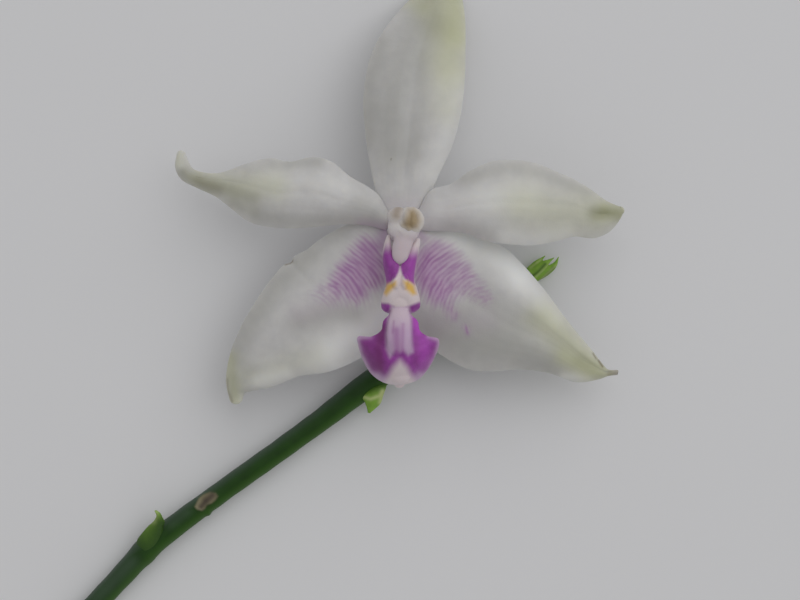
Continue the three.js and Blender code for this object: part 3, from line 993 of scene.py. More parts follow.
@dataclass
class LeftPetal(Tepal):
    """Left petal: its upper margin is ruffled."""

    label: Label = Label("petal_left_blade", "petal_left", Slot.PETAL)
    face: Face = Face(
        left=[
            (-1.7, -0.1), (-3.4, 0.3), (-6.3, 0.35), (-9.7, 0.0), (-12.5, 0.05), (-15.0, 0.6),
            (-16.6, 1.75), (-18.5, 3.2), (-20.4, 4.1), (-22.0, 5.0), (-22.55, 6.2), (-22.35, 7.45),
        ],
        right=[
            (-1.3, 1.75), (-2.2, 3.3), (-3.3, 4.15), (-5.0, 5.1), (-6.7, 6.5), (-8.6, 7.05), (-11.0, 6.6),
            (-12.9, 6.95), (-15.7, 6.3), (-18.0, 5.5), (-19.6, 5.55), (-20.8, 6.0), (-21.5, 7.3),
        ],
        ridge=(0.6, 1.1, 1.7, 1.9, 1.7, 1.1, 0.1, -0.9, -0.9),
        fall_left=(0.6, 0.9, 1.1, 1.3, 1.5, 1.3, 0.9, 0.5, 0.2),
        fall_right=(0.6, 0.9, 0.9, 0.8, 0.8, 0.7, 0.6, 0.3, 0.1),
        root=0.08,
        cells=(190, 70),
    )
    green: Sequence[Mark] = (
        Streak([(-12.5, 4.1), (-16.5, 4.2), (-20.0, 4.9)], 1.5, 0.3),
        Streak([(-22.3, 7.8), (-22.2, 6.6)], 0.7, 0.25),
    )
    # olive tint that also paints shade along the middle, towards the tip
    olive_and_painted_shade: Sequence[Mark] = (
        Streak([(-14.6, 3.0), (-17.5, 3.9), (-20.0, 4.8), (-21.6, 5.4)], 0.8, 0.3),
        Streak([(-14.6, 1.6), (-16.6, 2.4)], 0.7, 0.22),
    )
    brown: Sequence[Mark] = (Streak([(-20.2, 4.7), (-18.2, 3.9)], 0.6, 0.22),)
    # painted shade along both margins, at the base and near the tip
    grey: Sequence[Mark] = (
        Streak([(-3.0, 0.6), (-6.0, 0.8), (-10.0, 0.5), (-14.0, 1.2)], 0.9, 0.4),
        Streak([(-8.0, 6.6), (-12.5, 6.3)], 0.7, 0.35),
        Streak([(-1.6, 1.0), (-4.0, 2.2)], 1.2, 0.3),
        Streak([(-19.0, 3.9), (-21.8, 5.6)], 0.5, 0.3),
    )
    # painted light along the middle and at the tip
    light: Sequence[Mark] = (
        Streak([(-10.5, 4.6), (-14.0, 4.6)], 1.1, 0.3),
        Streak([(-6.0, 4.0), (-8.0, 4.6)], 1.2, 0.3),
        Streak([(-22.2, 7.4), (-22.1, 6.4)], 0.5, 0.5),
    )
    blush: Sequence[Mark] = (Streak([(-1.0, -0.2), (-3.6, 0.1)], 0.8, 0.5),)
    seed: int = 11
    ruffle: float = 0.3  # mm high

    def relief(self, t: np.ndarray, s: np.ndarray, xy: np.ndarray) -> np.ndarray:
        """Heights, with ruffles of two wavelengths."""
        swing = self.ruffle * (np.sin(math.tau * (3.5 * t + 0.1)) + 0.5 * np.sin(math.tau * (8.3 * t + 0.4)))
        return super().relief(t, s, xy) + swing * np.sin(math.pi * np.clip(t, 0, 1)) * np.maximum(s, 0) ** 2


@dataclass
class RightPetal(Tepal):
    """Right petal: a hollow fold just before its blunt tip."""

    label: Label = Label("petal_right_blade", "petal_right", Slot.PETAL)
    face: Face = Face(
        left=[
            (1.9, 1.75), (3.1, 3.75), (5.0, 4.35), (7.0, 5.65), (9.0, 6.55), (11.0, 6.8), (13.3, 6.5),
            (15.4, 5.7), (17.3, 4.9), (19.0, 3.9), (20.6, 2.75), (22.0, 2.1),
        ],
        right=[
            (1.8, -0.2), (4.0, -0.3), (6.4, -0.5), (8.6, -1.3), (11.0, -1.65), (13.1, -1.75),
            (15.5, -1.35), (17.4, -0.85), (19.4, -1.0), (20.9, -0.4), (21.9, 0.7), (22.3, 1.5),
        ],
        ridge=(0.6, 1.15, 1.8, 2.1, 2.0, 1.6, 0.9, 0.1, -0.8),
        fall_left=(0.6, 0.9, 1.0, 1.1, 1.2, 1.1, 0.9, 0.6, 0.2),
        fall_right=(0.6, 0.9, 1.1, 1.2, 1.3, 1.2, 0.9, 0.6, 0.2),
        root=0.08,
        cells=(190, 70),
    )
    green: Sequence[Mark] = (
        Streak([(12.3, 2.3), (15.5, 1.5), (19.3, 1.5)], 2.3, 0.32),
        Streak([(20.5, 1.7), (22.1, 1.6)], 0.9, 0.45),
    )
    # painted shade in the fold before the tip, in olive
    olive_and_painted_shade: Sequence[Mark] = (Streak([(19.6, 1.3), (21.6, 1.45)], 1.05, 0.5),)
    # painted shade along both margins and at the tip
    grey: Sequence[Mark] = (
        Streak([(6.5, 4.8), (11.0, 6.1), (15.0, 5.1), (18.5, 3.6)], 0.8, 0.35),
        Streak([(5.0, 0.2), (7.0, -0.3), (9.0, -0.8)], 0.9, 0.2),
        Streak([(20.5, 2.3), (21.8, 1.3)], 0.6, 0.15),
    )
    # painted light along the middle and near the lower margin
    light: Sequence[Mark] = (
        Streak([(4.0, 1.8), (6.0, 2.4)], 1.3, 0.35),
        Streak([(8.5, 2.8), (12.5, 2.9)], 1.7, 0.62),
        Streak([(10.5, -0.9), (13.0, -1.1), (16.5, -0.4)], 0.9, 0.42),
    )
    blush: Sequence[Mark] = (Streak([(1.2, 0.9), (5.0, 1.6)], 1.8, 0.1),)
    seed: int = 21
    hollows: Sequence[Furrow | Dent] = (Dent(0.6, (20.2, 1.35), (1.1, 0.6)),)


@dataclass
class LeftSepal(Tepal):
    """Left lateral sepal: a channel near its tip and a crimp beside its notch."""

    label: Label = Label("lateral_sepal_left_blade", "lateral_sepal_left", Slot.PETAL)
    face: Face = Face(
        left=[
            (-0.45, -3.3), (-0.4, -6.2), (-0.8, -9.2), (-2.1, -11.6), (-4.75, -13.45), (-7.6, -14.5),
            (-9.95, -14.8), (-12.8, -15.9), (-14.9, -16.3), (-15.6, -16.5), (-15.9, -17.05),
        ],
        right=[
            (-1.7, 0.6), (-3.6, 0.9), (-5.7, 0.2), (-8.0, -1.1), (-9.4, -2.15), (-10.65, -2.85),
            (-10.95, -3.4), (-11.6, -3.65), (-13.0, -5.2), (-15.4, -8.8), (-16.9, -12.0), (-17.5, -14.8),
            (-17.45, -16.0), (-17.2, -17.1),
        ],
        ridge=(-0.3, -0.4, -0.4, -0.3, -0.2, -0.3, -0.8, -1.6, -2.6),
        fall_left=(0.2, 0.5, 1.0, 1.4, 1.5, 1.3, 1.0, 0.7, 0.2),
        fall_right=(0.3, 0.7, 1.1, 1.3, 1.4, 1.4, 1.2, 0.8, 0.2),
        root=0.07,
        cells=(180, 100),
    )
    green: Sequence[Mark] = (
        Streak([(-8.5, -12.9), (-12.0, -13.8), (-15.0, -14.9)], 1.4, 0.14),
        Streak([(-17.2, -13.0), (-17.0, -15.5), (-16.6, -17.3)], 0.9, 0.4),
    )
    # painted shade in the channel near the tip, in olive
    olive_and_painted_shade: Sequence[Mark] = (Streak([(-16.7, -16.8), (-16.7, -15.0)], 0.7, 0.2),)
    brown: Sequence[Mark] = (
        Streak([(-17.4, -15.2), (-17.35, -16.4), (-16.9, -17.4)], 0.16, 0.3),
        Streak([(-10.8, -3.25), (-11.0, -3.5), (-11.5, -3.65)], 0.09, 0.6),
    )
    # painted shade under the petal, along the outer margin, across the middle and in the channel near the
    # tip
    grey: Sequence[Mark] = (
        Streak([(-6.0, -0.8), (-8.5, -2.2)], 1.1, 0.22),
        Streak([(-9.5, -3.2), (-12.2, -5.5), (-15.3, -9.8), (-16.6, -13.0)], 1.4, 0.42),
        Streak([(-4.4, -8.8), (-6.5, -8.4), (-10.0, -9.5)], 1.4, 0.5),
        Streak([(-15.9, -15.9), (-15.3, -14.4)], 0.9, 0.3),
    )
    # painted light along the lower inner margin, where the lip's shadow falls, and near the tip
    light: Sequence[Mark] = (
        Streak([(-1.6, -8.6), (-3.0, -10.4), (-5.4, -11.3), (-7.0, -12.4)], 1.6, 0.9),
        Streak([(-7.0, -12.4), (-9.6, -13.8)], 0.9, 0.3),
        Streak([(-11.5, -14.4), (-14.2, -15.4)], 0.7, 0.5),
    )
    blush: Sequence[Mark] = (
        Streak([(-1.4, -0.2), (-1.9, -1.5)], 0.7, 0.8),
        Streak([(-6.5, -7.6), (-10.0, -8.6)], 1.3, 0.16),
    )
    bars: Sequence[Mark] = (
        Patch(
            [
                (-3.5, -1.0), (-4.9, -2.2), (-6.0, -3.9), (-6.3, -5.1), (-5.5, -6.3), (-4.3, -7.3),
                (-3.4, -6.5), (-2.6, -5.9), (-1.8, -4.9), (-1.8, -3.2), (-2.1, -1.9),
            ],
            0.9,
            0.62,
        ),
        Patch([(-6.0, -4.2), (-7.4, -5.4), (-8.8, -6.6), (-7.6, -7.6), (-5.6, -7.6)], 0.8, 0.2),
        Streak([(-3.0, -2.4), (-3.6, -3.8), (-4.2, -5.2), (-4.5, -6.2)], 1.2, 0.68),
        Streak([(-5.6, -4.4), (-6.5, -6.0)], 0.8, 0.6),
        Streak([(-2.1, -3.4), (-2.2, -5.2)], 0.8, 0.62),
    )
    veins: int = 11
    seed: int = 31
    hollows: Sequence[Furrow | Dent] = (
        Furrow(0.35, 0.1, 0.35, (0.6, 0.8), (0.85, 0.98)),
        Dent(0.3, (-10.9, -3.4), (0.6, 0.4)),
    )


@dataclass
class RightSepal(Tepal):
    """Right lateral sepal: its outer margin is rolled back behind a shallow trough."""

    label: Label = Label("lateral_sepal_right_blade", "lateral_sepal_right", Slot.PETAL)
    face: Face = Face(
        left=[
            (1.95, 0.3), (3.2, 0.3), (5.4, -0.15), (8.0, -0.95), (10.5, -1.95), (12.1, -3.4),
            (14.7, -6.4), (17.0, -9.5), (19.4, -12.4), (20.3, -13.6), (21.0, -14.35), (21.95, -14.42),
        ],
        right=[
            (0.6, -3.3), (0.35, -6.2), (0.9, -9.2), (2.2, -11.4), (3.95, -12.6), (6.8, -14.1),
            (9.3, -14.35), (11.9, -14.15), (14.9, -14.5), (17.8, -15.45), (20.1, -15.1), (21.0, -14.72),
            (21.9, -14.6),
        ],
        ridge=(-0.3, -0.4, -0.3, -0.1, 0.0, -0.2, -0.8, -1.7, -2.7),
        fall_left=(0.3, 0.8, 1.4, 1.9, 2.1, 2.0, 1.6, 1.0, 0.2),
        fall_right=(0.2, 0.5, 1.0, 1.4, 1.5, 1.3, 1.0, 0.6, 0.2),
        power=3.0,
        root=0.07,
        cells=(180, 100),
    )
    green: Sequence[Mark] = (
        Streak([(14.5, -9.0), (17.0, -11.5), (19.5, -13.8)], 1.8, 0.42),
        Streak([(16.5, -13.0), (19.0, -14.2), (20.8, -14.6)], 1.0, 0.36),
    )
    # painted shade along the inside of the rolled margin, in olive
    olive_and_painted_shade: Sequence[Mark] = (
        Streak([(13.0, -8.8), (16.5, -12.3), (18.6, -14.0)], 0.9, 0.14),
        Streak([(18.0, -13.4), (20.3, -14.6)], 0.8, 0.3),
    )
    brown: Sequence[Mark] = (
        Streak([(19.45, -12.6), (19.75, -13.1)], 0.1, 0.6),
        Streak([(20.0, -13.3), (20.4, -13.9)], 0.12, 0.7),
        Streak([(21.2, -14.6), (22.1, -14.5)], 0.4, 0.5),
    )
    # painted shade over the inner part, inside the rolled margin
    grey: Sequence[Mark] = (
        Streak([(3.5, -10.0), (7.0, -11.5), (11.0, -12.0), (15.0, -13.4)], 2.3, 0.62),
        Streak([(8.0, -7.0), (12.0, -9.8)], 1.7, 0.45),
        Streak([(5.5, -8.6), (9.5, -10.0)], 1.4, 0.35),
    )
    blush: Sequence[Mark] = (
        Streak([(1.9, -0.5), (2.4, -1.0)], 0.5, 0.6),
        Streak([(3.5, -9.6), (8.5, -9.2)], 1.5, 0.15),
    )
    # painted light along the rolled upper margin, where the petal's shadow falls, and near the tip
    light: Sequence[Mark] = (
        Streak([(5.4, -0.8), (8.5, -1.8), (10.8, -3.2), (12.0, -4.8)], 1.4, 0.9),
        Streak([(12.0, -4.8), (15.5, -8.8)], 1.0, 0.5),
        Streak([(16.5, -14.9), (18.8, -15.0)], 0.5, 0.5),
    )
    bars: Sequence[Mark] = (
        Patch(
            [
                (3.5, -1.2), (5.2, -1.9), (6.7, -3.7), (7.1, -4.9), (6.0, -6.1), (5.0, -6.9), (4.4, -7.5),
                (3.2, -7.2), (2.3, -6.4), (1.8, -5.0), (1.8, -3.7), (2.3, -2.4),
            ],
            0.9,
            0.62,
        ),
        Patch([(6.6, -4.0), (8.0, -5.2), (9.2, -7.0), (8.7, -7.6), (6.4, -6.8), (5.6, -7.2)], 0.7, 0.35),
        Streak([(2.9, -3.1), (3.0, -4.8), (3.8, -6.4)], 1.2, 0.74),
        Streak([(1.9, -3.2), (2.2, -5.0)], 0.8, 0.62),
        Streak([(4.9, -8.0), (5.3, -8.7)], 0.5, 0.5),
        Streak([(6.55, -10.0), (6.8, -10.4)], 0.3, 0.5),
    )
    veins: int = 11
    seed: int = 41
    hollows: Sequence[Furrow | Dent] = (Furrow(0.3, -0.25, 0.28, (0.1, 0.5), (0.85, 1.0)),)


@dataclass
class Perianth:
    """The three sepals and two petals."""

    tepals: Sequence[type[Tepal]] = (DorsalSepal, LeftPetal, RightPetal, LeftSepal, RightSepal)

    def build(self) -> list[bpy.types.Object]:
        """Adds the five pieces."""
        material = PETAL_FINISH.material()
        return [tepal().build(material) for tepal in self.tepals]


# Column and anther cap

COLUMN_FINISH = Finish(
    name="orchid_column_pink_white",  # waxy pinkish white column
    base="#E4DFDD",
    mottle="#DCD6D8",
    layers=(Layer("blush", "#DCCCD3"), Layer("brown", "#A3937F")),
    mottle_size=0.8,
    cell=0.1,
    cell_height=0.012,
    roughness=0.38,
    inside=0.5,
)

CAP_FINISH = Finish(
    name="anther_cap_tan",  # waxy tan anther cap
    base="#BFAC8F",
    mottle="#B29E80",
    layers=(Layer("pale", "#DDD8D4"), Layer("brown", "#8E7850")),
    mottle_size=0.5,
    cell=0.08,
    cell_height=0.01,
    roughness=0.35,
    inside=0.2,
)


@dataclass
class Column:
    """Short thick post with a hood round the anther cap, and a tongue down its front."""

    route: Points = (
        (0.15, 0.0, -1.3), (0.15, 0.0, 0.2), (0.4, 0.1, 2.2), (0.8, 0.4, 3.6), (0.95, 0.55, 4.55),
    )
    radii: Sequence[float] = (1.75, 1.6, 1.3, 1.15, 1.15, 1.3, 1.42, 1.42)
    dish: Sequence[Pair] = ((1.0, 0.0), (0.8, 0.072), (0.5, 0.12), (0.1, 0.12))  # radius, depth
    foot: Tube = Tube(
        [(0.6, -0.2, 3.9), (0.4, -1.2, 3.9), (0.1, -2.3, 3.75), (0.0, -3.2, 3.5), (0.0, -3.65, 3.0)],
        (1.05, 1.0, 0.95, 0.85, 0.6),
        flat=0.75,
    )
    heel: Tube = Tube(
        [(0.35, -0.2, 2.5), (0.3, -1.3, 2.2), (0.15, -2.3, 1.6), (0.0, -3.4, 1.05)],
        (0.9, 0.7, 0.5, 0.4),
    )
    visor: Lump = Lump((0.75, -0.35, 4.05), (1.2, 1.15, 0.85))
    shoulder: Lump = Lump((-0.15, 1.05, 4.25), (1.15, 0.95, 0.7))
    cheek: Lump = Lump((-0.35, 0.0, 4.0), (0.9, 1.1, 0.75))
    spot: Streak = Streak([(-0.35, 1.2), (-0.15, 1.8)], 0.6, 0.75)
    blush: float = 0.8
    tongue: Pair = (-0.1, 1.6)  # mm below the centre, where the blush sets in and is full
    voxel: float = 0.055
    rounds: int = 110
    rings: int = 41
    sides: int = 64

    def post(self) -> Shell:
        """Makes the post, with a shallow dish in its end.

        Returns:
            Vertices and faces.
        """
        t = np.linspace(0, 1, self.rings)
        centre = Route(self.route).at(t)
        heading = unit(np.gradient(centre, axis=0))
        wide = unit(np.cross([0.0, 1.0, 0.0], heading))
        high = np.cross(heading, wide)
        angle = circle(self.sides)[:, None]
        spokes = [np.cos(angle) * w + np.sin(angle) * h for w, h in zip(wide, high)]
        rings = [c + r * k for c, r, k in zip(centre, smooth(self.radii, t), spokes)]
        rings += [centre[-1] - heading[-1] * sink + radius * spokes[-1] for radius, sink in self.dish]
        return loft(rings)

    def marks(self, places: np.ndarray) -> Shares:
        """Pinkish foot and tongue, and the tan spot beside the hood."""
        blush = self.blush * ease(-places[:, 1], *self.tongue)
        return {"blush": blush, "brown": self.spot.mask(places[:, :2])}

    def build(self) -> list[bpy.types.Object]:
        """Adds the column.

        Returns:
            The piece, in a list.
        """
        parts = [part.shell() for part in (self.foot, self.heel, self.visor, self.shoulder, self.cheek)]
        body = fused([self.post(), *parts], self.voxel, self.rounds)
        label = Label("column_post", "column", Slot.COLUMN)
        return [add_piece(label, body, COLUMN_FINISH.material(), self.marks)]


@dataclass
class AntherCap:
    """Low dome in the dish at the end of the column, with three soft knobs."""

    centre: Sequence[float] = (1.05, 0.65, 4.9)
    lumps: Sequence[Lump] = (
        Lump((-0.05, -0.05, -0.55), (1.42, 1.42, 0.65)),
        Lump((-0.3, 0.15, -0.1), (0.5, 0.75, 0.5)),
        Lump((0.25, 0.05, -0.1), (0.5, 0.8, 0.5)),
        Lump((-0.2, -0.65, -0.25), (0.4, 0.5, 0.4)),
    )
    core: Patch = Patch(
        [
            (-0.2, 1.1), (0.35, 1.2), (0.75, 0.6), (0.95, -0.1), (0.7, -0.75), (-0.2, -1.0),
            (-0.85, -0.5), (-0.45, 0.4),
        ],
        0.5,
    )
    seam: Streak = Streak([(-0.1, -0.4), (0.25, 0.4)], 0.5, 0.45)
    voxel: float = 0.04
    rounds: int = 24

    def marks(self, places: np.ndarray) -> Shares:
        """Pale rim round the tan core, and the core's brown middle."""
        xy = places[:, :2] - self.centre[:2]
        return {"pale": 1 - self.core.mask(xy), "brown": self.seam.mask(xy)}

    def build(self) -> list[bpy.types.Object]:
        """Adds the anther cap.

        Returns:
            The piece, in a list.
        """
        cap = fused([lump.shell(self.centre) for lump in self.lumps], self.voxel, self.rounds)
        label = Label("anther_cap_helmet", "anther_cap", Slot.CAP)
        return [add_piece(label, cap, CAP_FINISH.material(), self.marks)]


# Lip

LIP_FINISH = Finish(
    name="orchid_lip_purple",  # velvety magenta lip with white and lilac parts
    base="#A346A9",
    mottle="#913C97",
    layers=(
        # the dark layer is painted shade in the valleys beside the keel and on the wings, deepest on the
        # left wing, which faces away from the light
        Layer("dark", "#7D2D73"),
        # the magenta layer paints light on the lip's right side, which faces the light
        Layer("painted_light_magenta", "#C052C8"),
        Layer("lilac", "#D2BAD3"),
        Layer("pale", "#E7DADC"),
        Layer("streak", "#A463A4"),
        Layer("yellow", "#E7BB5F"),
    ),
    mottle_size=0.6,
    cell=0.09,
    cell_height=0.015,
    roughness=0.4,
    inside=0.2,
    sheen=0.15,
)


LOBE_RIDGE = (3.1, 3.6, 4.0, 4.0, 3.9, 3.8, 3.6, 3.3, 3.1)
LOBE_INNER_FALL = (0.0, -0.1, -0.2, -0.2, 0.0, 0.1, 0.2, 0.1, 0.0)
LOBE_OUTER_FALL = (0.5, 0.9, 1.1, 1.1, 1.2, 1.2, 0.9, 0.5, 0.1)
WING_FALL = (0.3, 0.6, 1.0, 1.5, 1.9, 1.9, 1.5, 0.8, 0.1)


@dataclass
class Lip:
    """Claw, two erect lobes over the callus, and an anchor-shaped midlobe with a keel and a cushion."""

    left_lobe: Face = Face(
        left=[
            (0.3, -8.2), (0.3, -6.2), (0.3, -4.4), (-0.05, -3.8), (-0.5, -3.3), (-0.8, -2.6),
            (-0.92, -1.6), (-1.0, -0.8),
        ],
        right=[
            (-1.0, -8.5), (-1.75, -8.1), (-1.8, -7.3), (-1.6, -6.6), (-1.3, -5.6), (-1.45, -4.5),
            (-1.65, -3.2), (-1.5, -1.8), (-1.15, -0.8),
        ],
        ridge=LOBE_RIDGE,
        fall_left=LOBE_INNER_FALL,
        fall_right=LOBE_OUTER_FALL,
        cells=(90, 40),
    )
    right_lobe: Face = Face(
        left=[
            (0.9, -8.5), (1.85, -8.1), (1.95, -7.3), (1.7, -6.3), (1.35, -5.1), (1.5, -4.2), (1.65, -2.9),
            (1.85, -1.8), (1.9, -1.1),
        ],
        right=[
            (-0.3, -8.2), (-0.3, -6.2), (-0.3, -4.4), (0.05, -3.8), (0.45, -3.3), (0.8, -2.6),
            (1.2, -1.8), (1.65, -1.1),
        ],
        ridge=LOBE_RIDGE,
        fall_left=LOBE_OUTER_FALL,
        fall_right=LOBE_INNER_FALL,
        cells=(90, 40),
    )
    midlobe: Face = Face(
        left=[
            (0.9, -8.0), (1.1, -8.7), (1.75, -9.3), (1.95, -10.2), (2.7, -10.75), (3.8, -11.05),
            (3.85, -11.7), (3.4, -12.9), (2.7, -14.1), (1.8, -15.0), (0.5, -15.35),
        ],
        right=[
            (-0.9, -8.0), (-1.1, -8.7), (-1.65, -9.3), (-1.85, -10.2), (-2.8, -10.8), (-4.2, -10.85),
            (-4.15, -11.6), (-3.7, -13.0), (-2.9, -14.4), (-1.8, -15.2), (-0.6, -15.45),
        ],
        ridge=(3.3, 3.8, 4.3, 4.6, 4.6, 4.2, 3.6, 2.9, 2.2),
        fall_left=WING_FALL,
        fall_right=WING_FALL,
        bow=(0.1, 0.3, 0.9, 1.4, 1.5, 1.1, 0.6, 0.2, 0.0),
        thickness=0.55,
        cells=(140, 70),
    )
    keel: Tube = Tube(
        [(0, -7.8, 3.3), (0, -8.9, 4.0), (0, -10.4, 4.6), (-0.05, -12.0, 4.7), (-0.05, -13.2, 4.2)],
        (0.8, 1.05, 1.25, 1.2, 0.8),
        flat=0.5,
    )
    ridge_offsets: Pair = (-0.8, 0.7)  # mm, the keel's two ridges from its middle
    cushion: Lump = Lump((0, -14.0, 3.3), (1.3, 1.5, 0.8))
    claw: Tube = Tube(
        [(0, -3.95, 1.1), (0, -4.7, 1.6), (0, -5.6, 2.4), (0, -6.6, 3.3)],
        (0.55, 0.7, 0.9, 1.0),
        flat=0.7,
    )
    callus: Sequence[Lump] = (
        Lump((-0.4, -5.4, 4.2), (0.4, 0.8, 0.5)),
        Lump((0.45, -5.4, 4.2), (0.4, 0.8, 0.5)),
    )
    bell_foot: Lump = Lump((0, -7.0, 3.3), (1.5, 1.5, 0.8))
    purple_lobes: Sequence[Mark] = (
        Patch(
            [
                (-0.95, -1.0), (-1.4, -1.2), (-1.8, -3.06), (-1.75, -4.04), (-1.5, -5.03), (-1.48, -5.92),
                (-0.89, -5.43), (-0.39, -4.93), (-0.15, -4.44), (0.0, -3.9), (-0.05, -3.5), (-0.35, -3.1),
                (-0.6, -2.5), (-0.75, -1.2),
            ],
            0.16,
        ),
        Patch(
            [
                (1.4, -0.9), (2.0, -1.2), (1.75, -3.06), (1.62, -3.75), (1.5, -4.44), (1.45, -5.23),
                (1.45, -5.72), (0.99, -5.43), (0.49, -5.13), (0.2, -4.64), (0.05, -4.04), (0.05, -3.5),
                (0.35, -3.1), (0.6, -2.5), (1.0, -1.5),
            ],
            0.16,
        ),
    )
    purple_corners: Sequence[Mark] = (
        Patch(
            [(-1.9, -7.5), (-1.15, -7.55), (-0.6, -7.85), (-0.72, -8.4), (-1.5, -8.5), (-1.95, -8.0)],
            0.22,
        ),
        Patch([(2.2, -7.3), (2.2, -7.95), (1.4, -8.5), (0.75, -8.4), (0.65, -7.9), (1.4, -7.6)], 0.22),
    )
    lilac_keel: Patch = Patch(
        [
            (-0.85, -7.8), (0.85, -7.8), (1.1, -8.97), (1.18, -11.14), (1.28, -12.33), (0.79, -12.62),
            (0.3, -12.13), (0.0, -12.33), (-0.39, -12.13), (-1.0, -12.9), (-1.35, -12.0), (-1.4, -10.65),
            (-1.18, -9.17),
        ],
        0.3,
        0.85,
    )
    pale_apex: Patch = Patch(
        [
            (0.0, -13.1), (0.69, -13.8), (1.18, -14.7), (1.6, -15.4), (1.4, -17.2), (-1.6, -17.2),
            (-1.7, -15.6), (-1.18, -14.7), (-0.69, -13.8),
        ],
        0.5,
        0.95,
    )
    lilac_margins: Sequence[Mark] = (
        Streak([(-4.3, -11.1), (-3.95, -12.6), (-3.05, -14.3), (-1.7, -15.4)], 0.3, 0.75),
        Streak([(-3.0, -10.75), (-4.3, -10.9)], 0.3, 0.6),
        Streak([(3.95, -11.3), (3.55, -12.9), (2.85, -14.2), (1.8, -15.2)], 0.25, 0.6),
        Streak([(2.9, -10.75), (3.9, -11.1)], 0.3, 0.6),
        Streak([(-2.2, -14.8), (-1.3, -15.3)], 0.5, 0.6),
        Streak([(1.9, -14.7), (1.3, -15.2)], 0.45, 0.6),
    )
    yellow: Sequence[Mark] = (
        Patch([(-0.4, -5.35), (-0.4, -5.75), (-1.35, -6.75), (-1.65, -6.5), (-1.35, -5.65)], 0.3),
        Patch([(0.35, -5.35), (0.8, -5.3), (1.4, -5.75), (1.6, -6.6), (1.25, -6.7), (0.6, -6.15)], 0.3),
    )
    # painted shade beside the keel and on the wings, deepest on the left wing, which faces away from the
    # light
    dark: Sequence[Mark] = (
        Streak([(-1.8, -10.0), (-2.1, -12.0), (-2.0, -14.0)], 0.6, 0.85),
        Streak([(-3.4, -11.6), (-2.8, -13.6)], 0.7, 0.5),
        Streak([(1.6, -11.0), (1.6, -13.3)], 0.35, 0.4),
        Streak([(3.3, -12.0), (2.6, -13.8)], 0.4, 0.3),
    )
    # painted light: brighter magenta on the right shoulder, right wing and right lobe, which face the light
    painted_light_magenta: Sequence[Mark] = (
        Streak([(1.5, -8.9), (1.9, -10.2)], 0.5, 0.9),
        Streak([(2.2, -11.2), (2.6, -13.2)], 0.8, 0.45),
        Streak([(1.2, -3.0), (1.2, -4.8)], 0.6, 0.4),
    )
    streak: Sequence[Mark] = (
        Streak([(-0.35, -10.2), (-0.25, -12.3)], 0.42, 0.6),
        Streak([(0.3, -9.6), (0.25, -12.0)], 0.2, 0.4),
        Streak([(-0.6, -9.3), (-0.7, -10.4)], 0.12, 0.35),
    )
    pale_line: float = -8.7  # mm along Y, the lip is pale above it
    pale_step: float = 0.5  # mm that the line lies higher in the middle
    pale_soft: float = 0.5  # mm over which the pale part sets in
    middle: Pair = (0.7, 1.2)  # mm to each side, where the middle ends
    purple_start: Pair = (-1.4, -3.1)  # mm along Y, the lobes' purple sets in and is full
    purple_tilt: float = 0.25  # mm that it sets in lower on the right and higher on the left
    purple_height: Pair = (1.7, 2.4)  # mm, only the lobes' upper faces are purple
    yellow_height: Pair = (2.4, 3.2)  # mm, as for purple
    ramp: float = 0.6  # how pale the keel's head is
    ramp_end: Pair = (-8.4, -10.6)  # mm along Y, where that runs out
    voxel: float = 0.07
    rounds: int = 5

    def ridge(self, x: float) -> Tube:
        """Ridge on the keel, x mm from its middle."""
        points = [(x * 0.7, -8.5, 3.85), (x, -9.6, 4.35), (x, -11.0, 4.8), (x * 0.9, -12.5, 4.65)]
        return Tube(points, (0.3, 0.46, 0.5, 0.3), sides=20, flat=0.8)

    def parts(self) -> list[Face | Tube | Lump]:
        """Lists what the lip is grown from.

        Returns:
            Blades, tubes and lumps.
        """
        blades = [self.left_lobe, self.right_lobe, self.midlobe]
        ridges = [self.ridge(x) for x in self.ridge_offsets]
        return [*blades, self.keel, *ridges, self.cushion, self.claw, *self.callus, self.bell_foot]

    def marks(self, places: np.ndarray) -> Shares:
        """Where each colour lies.

        Args:
            places: the lip's vertices, in mm.

        Returns:
            Shares of each mark at each vertex.
        """
        xy, x, y, height = places[:, :2], places[:, 0], places[:, 1], places[:, 2]
        middle = 1 - ease(np.abs(x), *self.middle)
        above = ease(y - self.pale_line - self.pale_step * middle, 0.0, self.pale_soft)
        start, full = self.purple_start
        rising = ease(-y - self.purple_tilt * np.sign(x), -start, -full)
        lobes = np.maximum(marked(xy, self.purple_lobes) * rising, marked(xy, self.purple_corners))
        purple = lobes * ease(height, *self.purple_height)
        keel = self.lilac_keel.mask(xy)
        start, full = self.ramp_end
        ramp = self.ramp * keel * (1 - ease(-y, -start, -full))
        pale = np.maximum.reduce([above * (1 - purple), self.pale_apex.mask(xy), ramp])
        return {
            # the dark marks are painted shade and the magenta marks are painted light
            "dark": marked(xy, self.dark),
            "painted_light_magenta": marked(xy, self.painted_light_magenta),
            "lilac": np.maximum(keel, marked(xy, self.lilac_margins)),
            "pale": np.clip(pale, 0, 1),
            "streak": marked(xy, self.streak),
            "yellow": marked(xy, self.yellow) * ease(height, *self.yellow_height),
        }

    def build(self) -> list[bpy.types.Object]:
        """Adds the lip."""
        body = fused([part.shell() for part in self.parts()], self.voxel, self.rounds)
        return [add_piece(Label("lip_body", "lip", Slot.LIP), body, LIP_FINISH.material(), self.marks)]


# Stalk: stem and pedicel

STEM_FINISH = Finish(
    name="orchid_stalk_green",  # smooth dark green flower stalk, with a painted grey sheen on its upper left side and painted light on its lower right side
    base="#1F4509",
    mottle="#1B3D08",
    layers=(
        # painted light on the stem's lower right side
        Layer("light", "#3E6620"),
        # painted grey sheen on the stem's upper left side
        Layer("painted_sheen", "#465848"),
        Layer("scar", "#8C8468"),
        Layer("brown", "#4A4038"),
        Layer("pith", "#B9C48C"),
    ),
    mottle_size=1.5,
    cell=0.1,
    cell_height=0.008,
    roughness=0.48,
    ior=1.33,
    inside=0.05,
)

